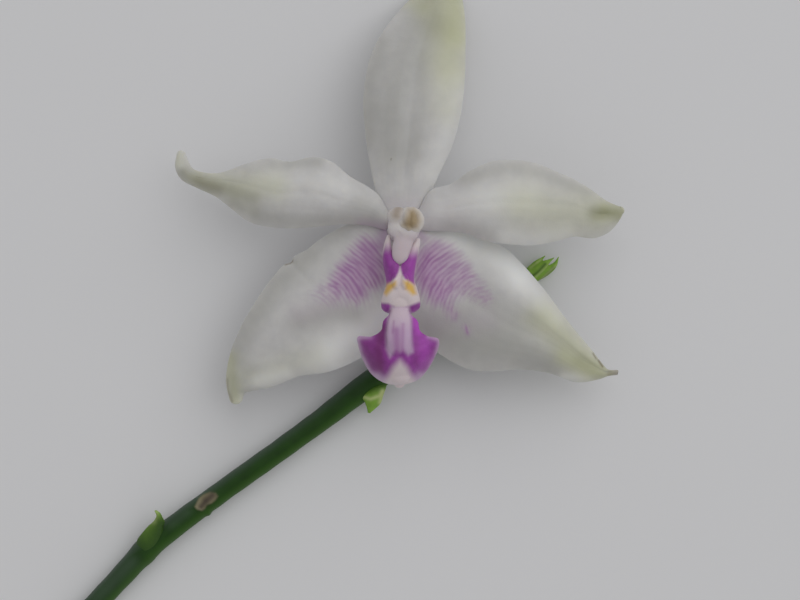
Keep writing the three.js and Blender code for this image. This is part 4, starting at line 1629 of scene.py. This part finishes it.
PEDICEL_FINISH = Finish(
    name="orchid_pedicel_pale_green",  # smooth pale green flower foot, whiter towards the flower
    base="#A9B97C",
    mottle="#9DAE6E",
    layers=(Layer("pale", "#DADFC6"), Layer("deep", "#6E8A45")),
    mottle_size=1.0,
    cell=0.1,
    cell_height=0.01,
    roughness=0.42,
    inside=0.15,
)


class TubeTree:
    """Geometry Nodes: round tube that follows a path and is as thick as each point says."""

    def __init__(self, material: bpy.types.Material) -> None:
        """Builds the tree: a path in, a capped tube out.

        Args:
            material: what the tube is made of.
        """
        self.tree = bpy.data.node_groups.new("tube_along_path", "GeometryNodeTree")
        face = self.tree.interface
        face.new_socket(name="Path", in_out="INPUT", socket_type="NodeSocketGeometry")
        self.sides = face.new_socket(name="Sides", in_out="INPUT", socket_type="NodeSocketInt")
        self.sides.default_value = 32
        face.new_socket(name="Tube", in_out="OUTPUT", socket_type="NodeSocketGeometry")
        g = Graph(self.tree)
        given = g.add("NodeGroupInput")
        girth = g.add("GeometryNodeInputNamedAttribute", {"Name": "girth"}, data_type="FLOAT")
        path = g.add("GeometryNodeMeshToCurve", {"Mesh": given.outputs["Path"]})
        sides = given.outputs["Sides"]
        ring = g.add("GeometryNodeCurvePrimitiveCircle", {"Resolution": sides, "Radius": 1.0})
        skin = g.add(
            "GeometryNodeCurveToMesh",
            {"Curve": path, "Profile Curve": ring, "Scale": girth.outputs[0], "Fill Caps": True},
        )
        whole = g.add("GeometryNodeRealizeInstances", {"Geometry": skin})
        dressed = g.add("GeometryNodeSetMaterial", {"Geometry": whole, "Material": material})
        g.add("NodeGroupOutput", {"Tube": dressed})

    def grow(self, path: np.ndarray, girth: np.ndarray, sides: int) -> Shell:
        """Tube along a path.

        Args:
            path: its points, in mm.
            girth: its radius at each point.
            sides: points round it.

        Returns:
            Vertices and faces.
        """
        mesh = bpy.data.meshes.new("path")
        mesh.from_pydata(path.tolist(), [(i, i + 1) for i in range(len(path) - 1)], [])
        set_attribute(mesh, "girth", girth)
        source = placed("path", mesh)
        growth = source.modifiers.new("grow", "NODES")
        growth.node_group = self.tree
        growth[self.sides.identifier] = sides
        return evaluated(source)


def rounded_ends(centre: np.ndarray, girth: np.ndarray, bulge: float) -> tuple[np.ndarray, np.ndarray]:
    """Adds a dome at each end of a path.

    Args:
        centre: the path's points.
        girth: the radius at each point.
        bulge: height of the domes as a share of their radius.

    Returns:
        The longer path and its radii.
    """
    steepest, rings = math.pi / 2 - 0.05, 8
    dome = np.linspace(steepest, 0, rings + 1)[:-1]
    first, last = unit(centre[0] - centre[1]), unit(centre[-1] - centre[-2])
    head = [centre[0] + first * girth[0] * bulge * math.sin(d) for d in dome]
    tail = [centre[-1] + last * girth[-1] * bulge * math.sin(d) for d in dome[::-1]]
    path = np.vstack([head, centre, tail])
    return path, np.concatenate([girth[0] * np.cos(dome), girth, girth[-1] * np.cos(dome[::-1])])


class Axis:
    """Line of the stem by distance from its cut end."""

    ROUTE = Route([
        (-34.6, -42.0), (-28.8, -35.8), (-25.6, -32.4), (-21.8, -29.4), (-16.8, -25.75), (-11.9, -22.25),
        (-7.9, -19.33), (-2.9, -15.5), (4.4, -10.3), (12.9, -4.95),
    ])
    RADII = (1.16, 1.12, 1.2, 1.1, 1.1, 1.12, 1.25, 1.15, 1.0, 0.85)
    ARCH = 0.5  # mm that its middle stands off the surface
    STEP = 0.01  # mm, for its direction

    def centre(self, distance: np.ndarray) -> np.ndarray:
        """Points of the line.

        Args:
            distance: distances from the cut end, in mm.

        Returns:
            A point for each.
        """
        t = np.clip(np.asarray(distance, float) / self.ROUTE.length, 0, 1)
        point = self.ROUTE.at(t)
        point[..., 2] = FLOOR + smooth(self.RADII, t) + self.ARCH * np.sin(math.pi * t)
        return point

    def radius(self, distance: np.ndarray) -> np.ndarray:
        """Radii of the stem."""
        return smooth(self.RADII, np.asarray(distance, float) / self.ROUTE.length)

    def left(self, distance: np.ndarray) -> np.ndarray:
        """Directions to the stem's left."""
        along = unit(self.centre(distance + self.STEP) - self.centre(distance - self.STEP))
        return unit(np.cross(UP, along))


@dataclass
class Stem:
    """The cut stem, with swollen nodes, a scar and a small knob."""

    axis: Axis = field(default_factory=Axis)
    nodes: Points = ((12.4, 0.9, 0.1), (45.5, 1.8, 0.06))  # distance, width, height
    knob_centre: Pair = (-19.5, -29.0)
    knob_width: float = 0.3
    knob: float = 0.15
    scar: Patch = Patch(
        [
            (-20.85, -28.2), (-20.65, -28.45), (-20.15, -28.6), (-19.85, -28.4), (-19.65, -28.0),
            (-19.15, -27.85), (-18.75, -27.5), (-18.55, -27.15), (-18.75, -26.85), (-19.35, -26.75),
            (-20.0, -27.0), (-20.45, -27.35),
        ],
        0.16,
    )
    rim: float = 0.32  # how far the scar's rim stands out
    sink: float = 0.07  # how deep its middle lies
    wave: float = 0.012  # mm high
    wave_pace: float = 2.1  # radians per mm
    swell: float = 0.01  # mm high
    swell_length: float = 3.0  # mm
    seed: int = 5
    spots: Sequence[Mark] = (
        Streak([(-19.1, -27.1), (-19.6, -27.5)], 0.4, 0.85),
        Streak([(-19.8, -27.7), (-20.2, -28.2)], 0.32, 0.85),
    )
    # painted sheen in patches on the upper side of the stem
    painted_sheen_patches: Sequence[Mark] = (
        Streak([(-31.0, -37.4), (-27.4, -33.8)], 0.9, 0.6),
        Streak([(-23.4, -29.8), (-21.8, -28.7)], 0.6, 0.5),
    )
    upper: Pair = (0.0, 0.4)  # how far up a place looks where the upper side starts and is full
    # strength of the painted light on the lower right side
    light: float = 0.7
    light_side: Pair = (0.1, 0.9)  # how far right a place looks where the painted light starts and is full
    # strength of the painted sheen on the upper left side
    painted_sheen: float = 0.85
    painted_sheen_side: Pair = (0.1, 0.95)  # how far left a place looks where the painted sheen starts and is full
    cut_face: Pair = (-0.12, 0.0)  # mm along the stem, where the pale cut face ends
    rings: int = 520
    sides: int = 56
    bulge: float = 0.25
    steps: int = 500  # places that the nearest one is looked up among
    end_gap: float = 0.02  # mm that they keep from the stem's ends

    def along(self, places: np.ndarray) -> tuple[np.ndarray, np.ndarray, np.ndarray]:
        """Where places are on the stem.

        Args:
            places: places, in mm.

        Returns:
            Distance from the cut end, unit direction away from the line, and how far left it points.
        """
        steps = np.linspace(self.end_gap, self.axis.ROUTE.length - self.end_gap, self.steps)
        line = self.axis.centre(steps)
        nearest = nearest_of(places[:, :2], line[:, :2])
        out = unit(places - line[nearest])
        return steps[nearest], out, (out * self.axis.left(steps)[nearest]).sum(axis=1)

    def shape(self, tubes: TubeTree) -> Shell:
        """Grows the stem and pushes its skin out.

        Args:
            tubes: what grows the tube.

        Returns:
            Vertices and faces.
        """
        steps = np.linspace(0, self.axis.ROUTE.length, self.rings)
        path, girth = rounded_ends(self.axis.centre(steps), self.axis.radius(steps), self.bulge)
        vertices, faces = tubes.grow(path, girth, self.sides)
        xy = vertices[:, :2]
        distance, out, _ = self.along(vertices)
        nodes = sum(height * bell(distance - place, width) for place, width, height in self.nodes)
        scar = self.scar.mask(xy)
        rim = self.rim * scar * (1 - scar) - self.sink * scar
        knob = self.knob * bell(np.linalg.norm(xy - self.knob_centre, axis=1), self.knob_width)
        uneven = self.wave * np.sin(distance * self.wave_pace)
        uneven = uneven + self.swell * ripple(xy, self.swell_length, self.seed)
        push = nodes + ease(out[:, 2], *self.upper) * rim + knob + uneven
        vertices = vertices + out * push[:, None]
        vertices[:, 2] = np.maximum(vertices[:, 2], FLOOR)
        return vertices, faces

    def marks(self, places: np.ndarray) -> Shares:
        """Painted sheen on the upper left side, painted light on the lower right side, scar, spots and cut
        end.

        Args:
            places: the stem's vertices, in mm.

        Returns:
            Shares of each mark at each vertex.
        """
        xy = places[:, :2]
        _, out, left = self.along(places)
        top = ease(out[:, 2], *self.upper)
        start, ahead = self.axis.centre(np.array([0.0, 0.1]))
        # painted sheen on the upper left side, with more in patches on top
        painted_sheen = self.painted_sheen * ease(left, *self.painted_sheen_side)
        return {
            "light": self.light * ease(-left, *self.light_side),
            "painted_sheen": np.maximum(painted_sheen, top * marked(xy, self.painted_sheen_patches)),
            "scar": top * self.scar.mask(xy),
            "brown": top * marked(xy, self.spots),
            "pith": 1 - ease((places - start) @ unit(ahead - start), *self.cut_face),
        }

    def build(self) -> list[bpy.types.Object]:
        """Adds the stem.

        Returns:
            The piece, in a list.
        """
        green = STEM_FINISH.material()
        label = Label("stem_stalk", "stem", Slot.STALK)
        return [add_piece(label, self.shape(TubeTree(green)), green, self.marks)]


@dataclass
class Pedicel:
    """The ribbed stalk from the stem to the flower's back, which flares under the sepals."""

    foot: Sequence[float] = (4.15, -9.6, -5.2)
    route: Points = (
        (4.15, -9.5, -4.75), (4.0, -9.2, -4.2), (4.2, -7.8, -3.8), (3.5, -5.0, -3.8), (1.7, -2.0, -3.8),
        (0.5, -0.5, -3.4), (0.15, 0.0, -2.6), (0.15, 0.0, -1.3),
    )
    radii: Sequence[float] = (0.95, 0.85, 0.8, 0.8, 0.85, 0.9, 1.05, 1.6)
    ribs: int = 6
    rib: float = 0.05  # mm high
    across: Sequence[float] = (0.87, 0.5, 0.0)  # direction that the ribs are counted from
    pale_end: Pair = (1.0, 6.0)  # mm from the flower's centre, where the pale part runs out
    deep_start: Pair = (6.0, 10.0)  # mm from the flower's centre, where the deep green sets in
    rings: int = 220
    sides: int = 48
    bulge: float = 0.3

    def shape(self, tubes: TubeTree) -> Shell:
        """Grows the pedicel and raises its ribs.

        Args:
            tubes: what grows the tube.

        Returns:
            Vertices and faces.
        """
        t = np.linspace(0, 1, self.rings)
        centre = np.vstack([[self.foot], Route(self.route).at(t)])
        girth = np.concatenate([self.radii[:1], smooth(self.radii, t)])
        vertices, faces = tubes.grow(*rounded_ends(centre, girth, self.bulge), self.sides)
        out = unit(vertices - centre[nearest_of(vertices, centre)])
        angle = np.arctan2(out[:, 2], out @ np.array(self.across))
        return vertices + out * (self.rib * np.cos(self.ribs * angle))[:, None], faces

    def marks(self, places: np.ndarray) -> Shares:
        """Paler towards the flower, deeper green at the stem."""
        away = np.linalg.norm(places[:, :2], axis=1)
        return {"pale": 1 - ease(away, *self.pale_end), "deep": ease(away, *self.deep_start)}

    def build(self) -> list[bpy.types.Object]:
        """Adds the pedicel.

        Returns:
            The piece, in a list.
        """
        pale = PEDICEL_FINISH.material()
        label = Label("pedicel_stalk", "pedicel", Slot.STALK)
        return [add_piece(label, self.shape(TubeTree(pale)), pale, self.marks)]


# Bracts

BRACT_FINISH = Finish(
    name="orchid_bract_green",  # thin fresh green bract with a paler margin
    base="#8DB941",
    mottle="#7FAB39",
    # on the tip bracts the dark layer is painted shade in the gaps between them
    layers=(Layer("dark", "#2F5212"), Layer("pale", "#CAD593")),
    mottle_size=0.8,
    cell=0.1,
    cell_height=0.012,
    roughness=0.45,
    inside=0.2,
)


@dataclass(frozen=True)
class Teeth:
    """Tapering tubes that are grown together."""

    tubes: Sequence[Tube]
    voxel: float = 0.06
    rounds: int = 3

    def shell(self) -> Shell:
        """Fuses the tubes."""
        return fused([tube.shell() for tube in self.tubes], self.voxel, self.rounds)


@dataclass
class Bract:
    """One bract, or a group of them. Marks are areas and lines on it, seen from the front, in mm."""

    label: Label
    body: Face | Teeth
    dark: Sequence[Mark]
    pale: Sequence[Mark]

    def marks(self, places: np.ndarray) -> Shares:
        """Shares of each mark at each vertex."""
        return {name: marked(places[:, :2], getattr(self, name)) for name in ("dark", "pale")}

    def build(self, material: bpy.types.Material) -> bpy.types.Object:
        """Adds the piece."""
        return add_piece(self.label, self.body.shell(), material, self.marks)


@dataclass
class SheathBract(Bract):
    """The bract that clasps the stem and lifts off to a hooked point, dark at its base and right side."""

    label: Label = Label("sheath_bract_blade", "sheath_bract", Slot.BRACT)
    body: Face = Face(
        left=[
            (-26.85, -32.05), (-26.7, -31.55), (-26.25, -30.95), (-25.6, -30.2), (-25.05, -29.7),
            (-24.75, -29.3), (-24.65, -29.0), (-24.85, -28.6),
        ],
        right=[
            (-25.05, -33.25), (-24.55, -32.55), (-24.25, -31.7), (-24.15, -30.95), (-24.05, -30.2),
            (-23.9, -29.7), (-24.1, -29.25), (-24.35, -28.8), (-24.7, -28.55),
        ],
        ridge=(-4.85, -4.7, -4.5, -4.2, -3.9, -3.8),
        fall_left=(0.6, 0.55, 0.45, 0.3, 0.1, 0.0),
        fall_right=(1.1, 1.0, 0.8, 0.6, 0.3, 0.1),
        thickness=0.3,
        cells=(70, 40),
    )
    dark: Sequence[Mark] = (
        Streak([(-27.4, -31.9), (-25.0, -33.5)], 2.0, 1.0),
        Streak([(-24.7, -32.6), (-24.4, -31.0), (-24.1, -29.9)], 1.0, 0.95),
        Streak([(-25.6, -32.0), (-24.8, -30.2)], 1.3, 0.5),
    )
    pale: Sequence[Mark] = (Streak([(-25.0, -29.6), (-24.7, -28.7)], 0.35, 0.4),)


@dataclass
class FloralBract(Bract):
    """The short bract at the flower's node, cupped and pointed, with a dark root and a pale rim."""

    label: Label = Label("floral_bract_blade", "floral_bract", Slot.BRACT)
    body: Face = Face(
        left=[(-1.2, -15.4), (-1.5, -16.3), (-1.7, -16.85), (-2.0, -17.7), (-2.65, -18.3), (-3.1, -18.65)],
        right=[(-3.1, -16.0), (-3.7, -16.7), (-3.85, -17.1), (-3.6, -17.45), (-3.4, -18.0), (-3.2, -18.65)],
        ridge=(-5.2, -4.7, -4.5, -4.6, -5.0, -5.4),
        fall_left=(0.6, 0.6, 0.5, 0.3, 0.1),
        fall_right=(0.6, 0.6, 0.5, 0.3, 0.1),
        thickness=0.3,
        cells=(60, 40),
    )
    dark: Sequence[Mark] = (Streak([(-3.3, -16.0), (-1.6, -15.6)], 0.75, 0.9),)
    pale: Sequence[Mark] = (
        Streak([(-3.95, -17.0), (-3.0, -17.25), (-2.1, -16.95), (-1.75, -16.5)], 0.2, 0.8),
        Streak([(-1.75, -16.5), (-2.0, -17.6)], 0.25, 0.8),
    )


@dataclass
class PedicelBract(Bract):
    """The bract at the pedicel's foot, behind the flower."""

    label: Label = Label("pedicel_bract_blade", "pedicel_bract", Slot.BRACT)
    body: Face = Face(
        left=[(4.9, -10.5), (5.9, -9.7), (7.0, -9.2), (7.6, -9.2)],
        right=[(6.2, -12.0), (7.2, -11.2), (7.7, -10.2), (7.8, -9.3)],
        ridge=(-5.0, -4.6, -4.3, -4.2),
        fall_left=(0.5, 0.4, 0.2, 0.1),
        fall_right=(0.5, 0.4, 0.2, 0.1),
        thickness=0.3,
        cells=(50, 30),
    )
    dark: Sequence[Mark] = (Streak([(5.2, -11.4), (5.6, -11.1)], 0.7, 0.6),)
    pale: Sequence[Mark] = (Streak([(7.6, -9.3), (7.8, -9.3)], 0.6, 0.5),)


@dataclass
class TipBracts(Bract):
    """Pointed bracts that close round the growing end of the stem, with painted shade in the gaps between
    them and at their base, and pale lines.
    """

    label: Label = Label("tip_bract_teeth", "tip_bracts", Slot.BRACT)
    body: Teeth = Teeth((
        Tube([(12.6, -5.0, -6.5), (13.9, -3.5, -6.3), (14.8, -2.7, -6.1)], (0.5, 0.42, 0.3, 0.06), sides=20),
        Tube([(12.6, -5.1, -6.5), (14.5, -3.7, -6.2), (15.7, -2.9, -6.2)], (0.7, 0.58, 0.4, 0.06), sides=20),
        Tube(
            [(12.6, -5.2, -6.5), (15.0, -4.2, -6.5), (15.8, -3.6, -6.5), (16.2, -2.8, -6.4)],
            (0.75, 0.6, 0.4, 0.06),
            sides=20,
        ),
    ))
    # painted shade in the gaps between the bracts and where they meet the stem
    dark: Sequence[Mark] = (
        Streak([(13.2, -4.9), (13.9, -4.5), (14.8, -3.55)], 0.16, 0.7),
        Streak([(13.9, -5.6), (14.6, -5.0), (15.7, -3.9)], 0.16, 0.7),
        Streak([(12.2, -4.9), (12.9, -5.6)], 0.7, 0.6),
    )
    pale: Sequence[Mark] = (
        Streak([(13.3, -3.9), (14.4, -3.05)], 0.12, 0.4),
        Streak([(13.9, -4.8), (15.4, -3.35)], 0.12, 0.4),
        Streak([(14.3, -5.2), (16.0, -3.6)], 0.12, 0.4),
    )


@dataclass
class Bracts:
    """The thin bracts on the stem and those that close its growing tip."""

    bracts: Sequence[type[Bract]] = (SheathBract, FloralBract, PedicelBract, TipBracts)

    def build(self) -> list[bpy.types.Object]:
        """Adds the four pieces."""
        material = BRACT_FINISH.material()
        return [bract().build(material) for bract in self.bracts]


# Surroundings


@dataclass(frozen=True)
class Setting:
    """Pale grey sheet under the flower, soft light from the upper right, and the camera straight above."""

    camera_place: Sequence[float] = (6.46, 1.04, 307.5)  # mm
    lens: float = 135.0  # mm
    sensor: float = 36.0  # mm
    clip: Pair = (0.01, 10.0)  # m
    sheet_size: float = 3000.0  # mm
    sheet_grey: str = "#ECECEE"
    sheet_roughness: float = 0.9
    fibre: float = 0.8  # mm
    fibre_height: float = 0.01  # mm
    world_grey: float = 0.37
    key_place: Sequence[float] = (470.0, 540.0, 905.0)  # mm
    key_size: float = 1500.0  # mm
    key_power: float = 5.4  # W

    def paper(self) -> bpy.types.Material:
        """Builds the paper's nodes.

        Returns:
            The material.
        """
        paper = bpy.data.materials.new("matt_grey_paper")  # smooth matt paper
        paper.use_nodes = True
        g = Graph(paper.node_tree)
        place = g.add("ShaderNodeTexCoord").outputs["Object"]
        fibres = g.noise(place, self.fibre, 4.0)
        relief = {"Height": fibres, "Distance": self.fibre_height * MM, "Strength": 0.5}
        look = {"Base Color": paint(self.sheet_grey), "Roughness": self.sheet_roughness}
        skin = g.add("ShaderNodeBsdfPrincipled", {**look, "Normal": g.add("ShaderNodeBump", relief)})
        g.add("ShaderNodeOutputMaterial", {"Surface": skin})
        return paper

    def sheet(self) -> None:
        """Adds the sheet of paper the flower lies on."""
        half = self.sheet_size / 2 * MM
        mesh = bpy.data.meshes.new("paper_sheet")
        corners = [(-half, -half, 0), (half, -half, 0), (half, half, 0), (-half, half, 0)]
        mesh.from_pydata(corners, [], [(0, 1, 2, 3)])
        mesh.materials.append(self.paper())
        sheet = placed("paper_sheet", mesh)

    def light(self) -> None:
        """Adds the soft key light and the even light all round."""
        world = bpy.data.worlds.new("soft_room")
        world.use_nodes = True
        g = Graph(world.node_tree)
        grey = (self.world_grey,) * 3
        back = g.add("ShaderNodeBackground", {"Color": (*grey, 1.0), "Strength": 1.0})
        g.add("ShaderNodeOutputWorld", {"Surface": back})
        bpy.context.scene.world = world
        lamp = bpy.data.lights.new("soft_key", "AREA")
        lamp.energy = self.key_power
        lamp.size = self.key_size * MM
        place = np.array(self.key_place)
        aim = unit(np.array([*self.camera_place[:2], 0.0]) - place)
        key = placed("soft_key", lamp)
        key.location = place * MM
        key.rotation_euler = (math.acos(-aim[2]), 0.0, math.atan2(-aim[0], aim[1]))

    def camera(self) -> None:
        """Adds the camera, looking straight down with the dorsal sepal at the top."""
        view = bpy.data.cameras.new("view")
        view.lens = self.lens
        view.sensor_width = self.sensor
        view.clip_start, view.clip_end = self.clip
        camera = placed("view", view)
        camera.location = np.array(self.camera_place) * MM
        bpy.context.scene.camera = camera

    def build(self) -> None:
        """Adds sheet, light and camera."""
        self.sheet()
        self.light()
        self.camera()
        bpy.context.scene.view_settings.view_transform = "Standard"


def main() -> None:
    """Builds each part of the flower, then its surroundings, and logs each piece's face count."""
    for part in (Perianth(), Column(), AntherCap(), Lip(), Stem(), Pedicel(), Bracts()):
        for piece in part.build():
            log.info("%s: %s, %d faces", type(part).__name__, piece.name, len(piece.data.polygons))
    Setting().build()


if __name__ == "__main__":
    main()
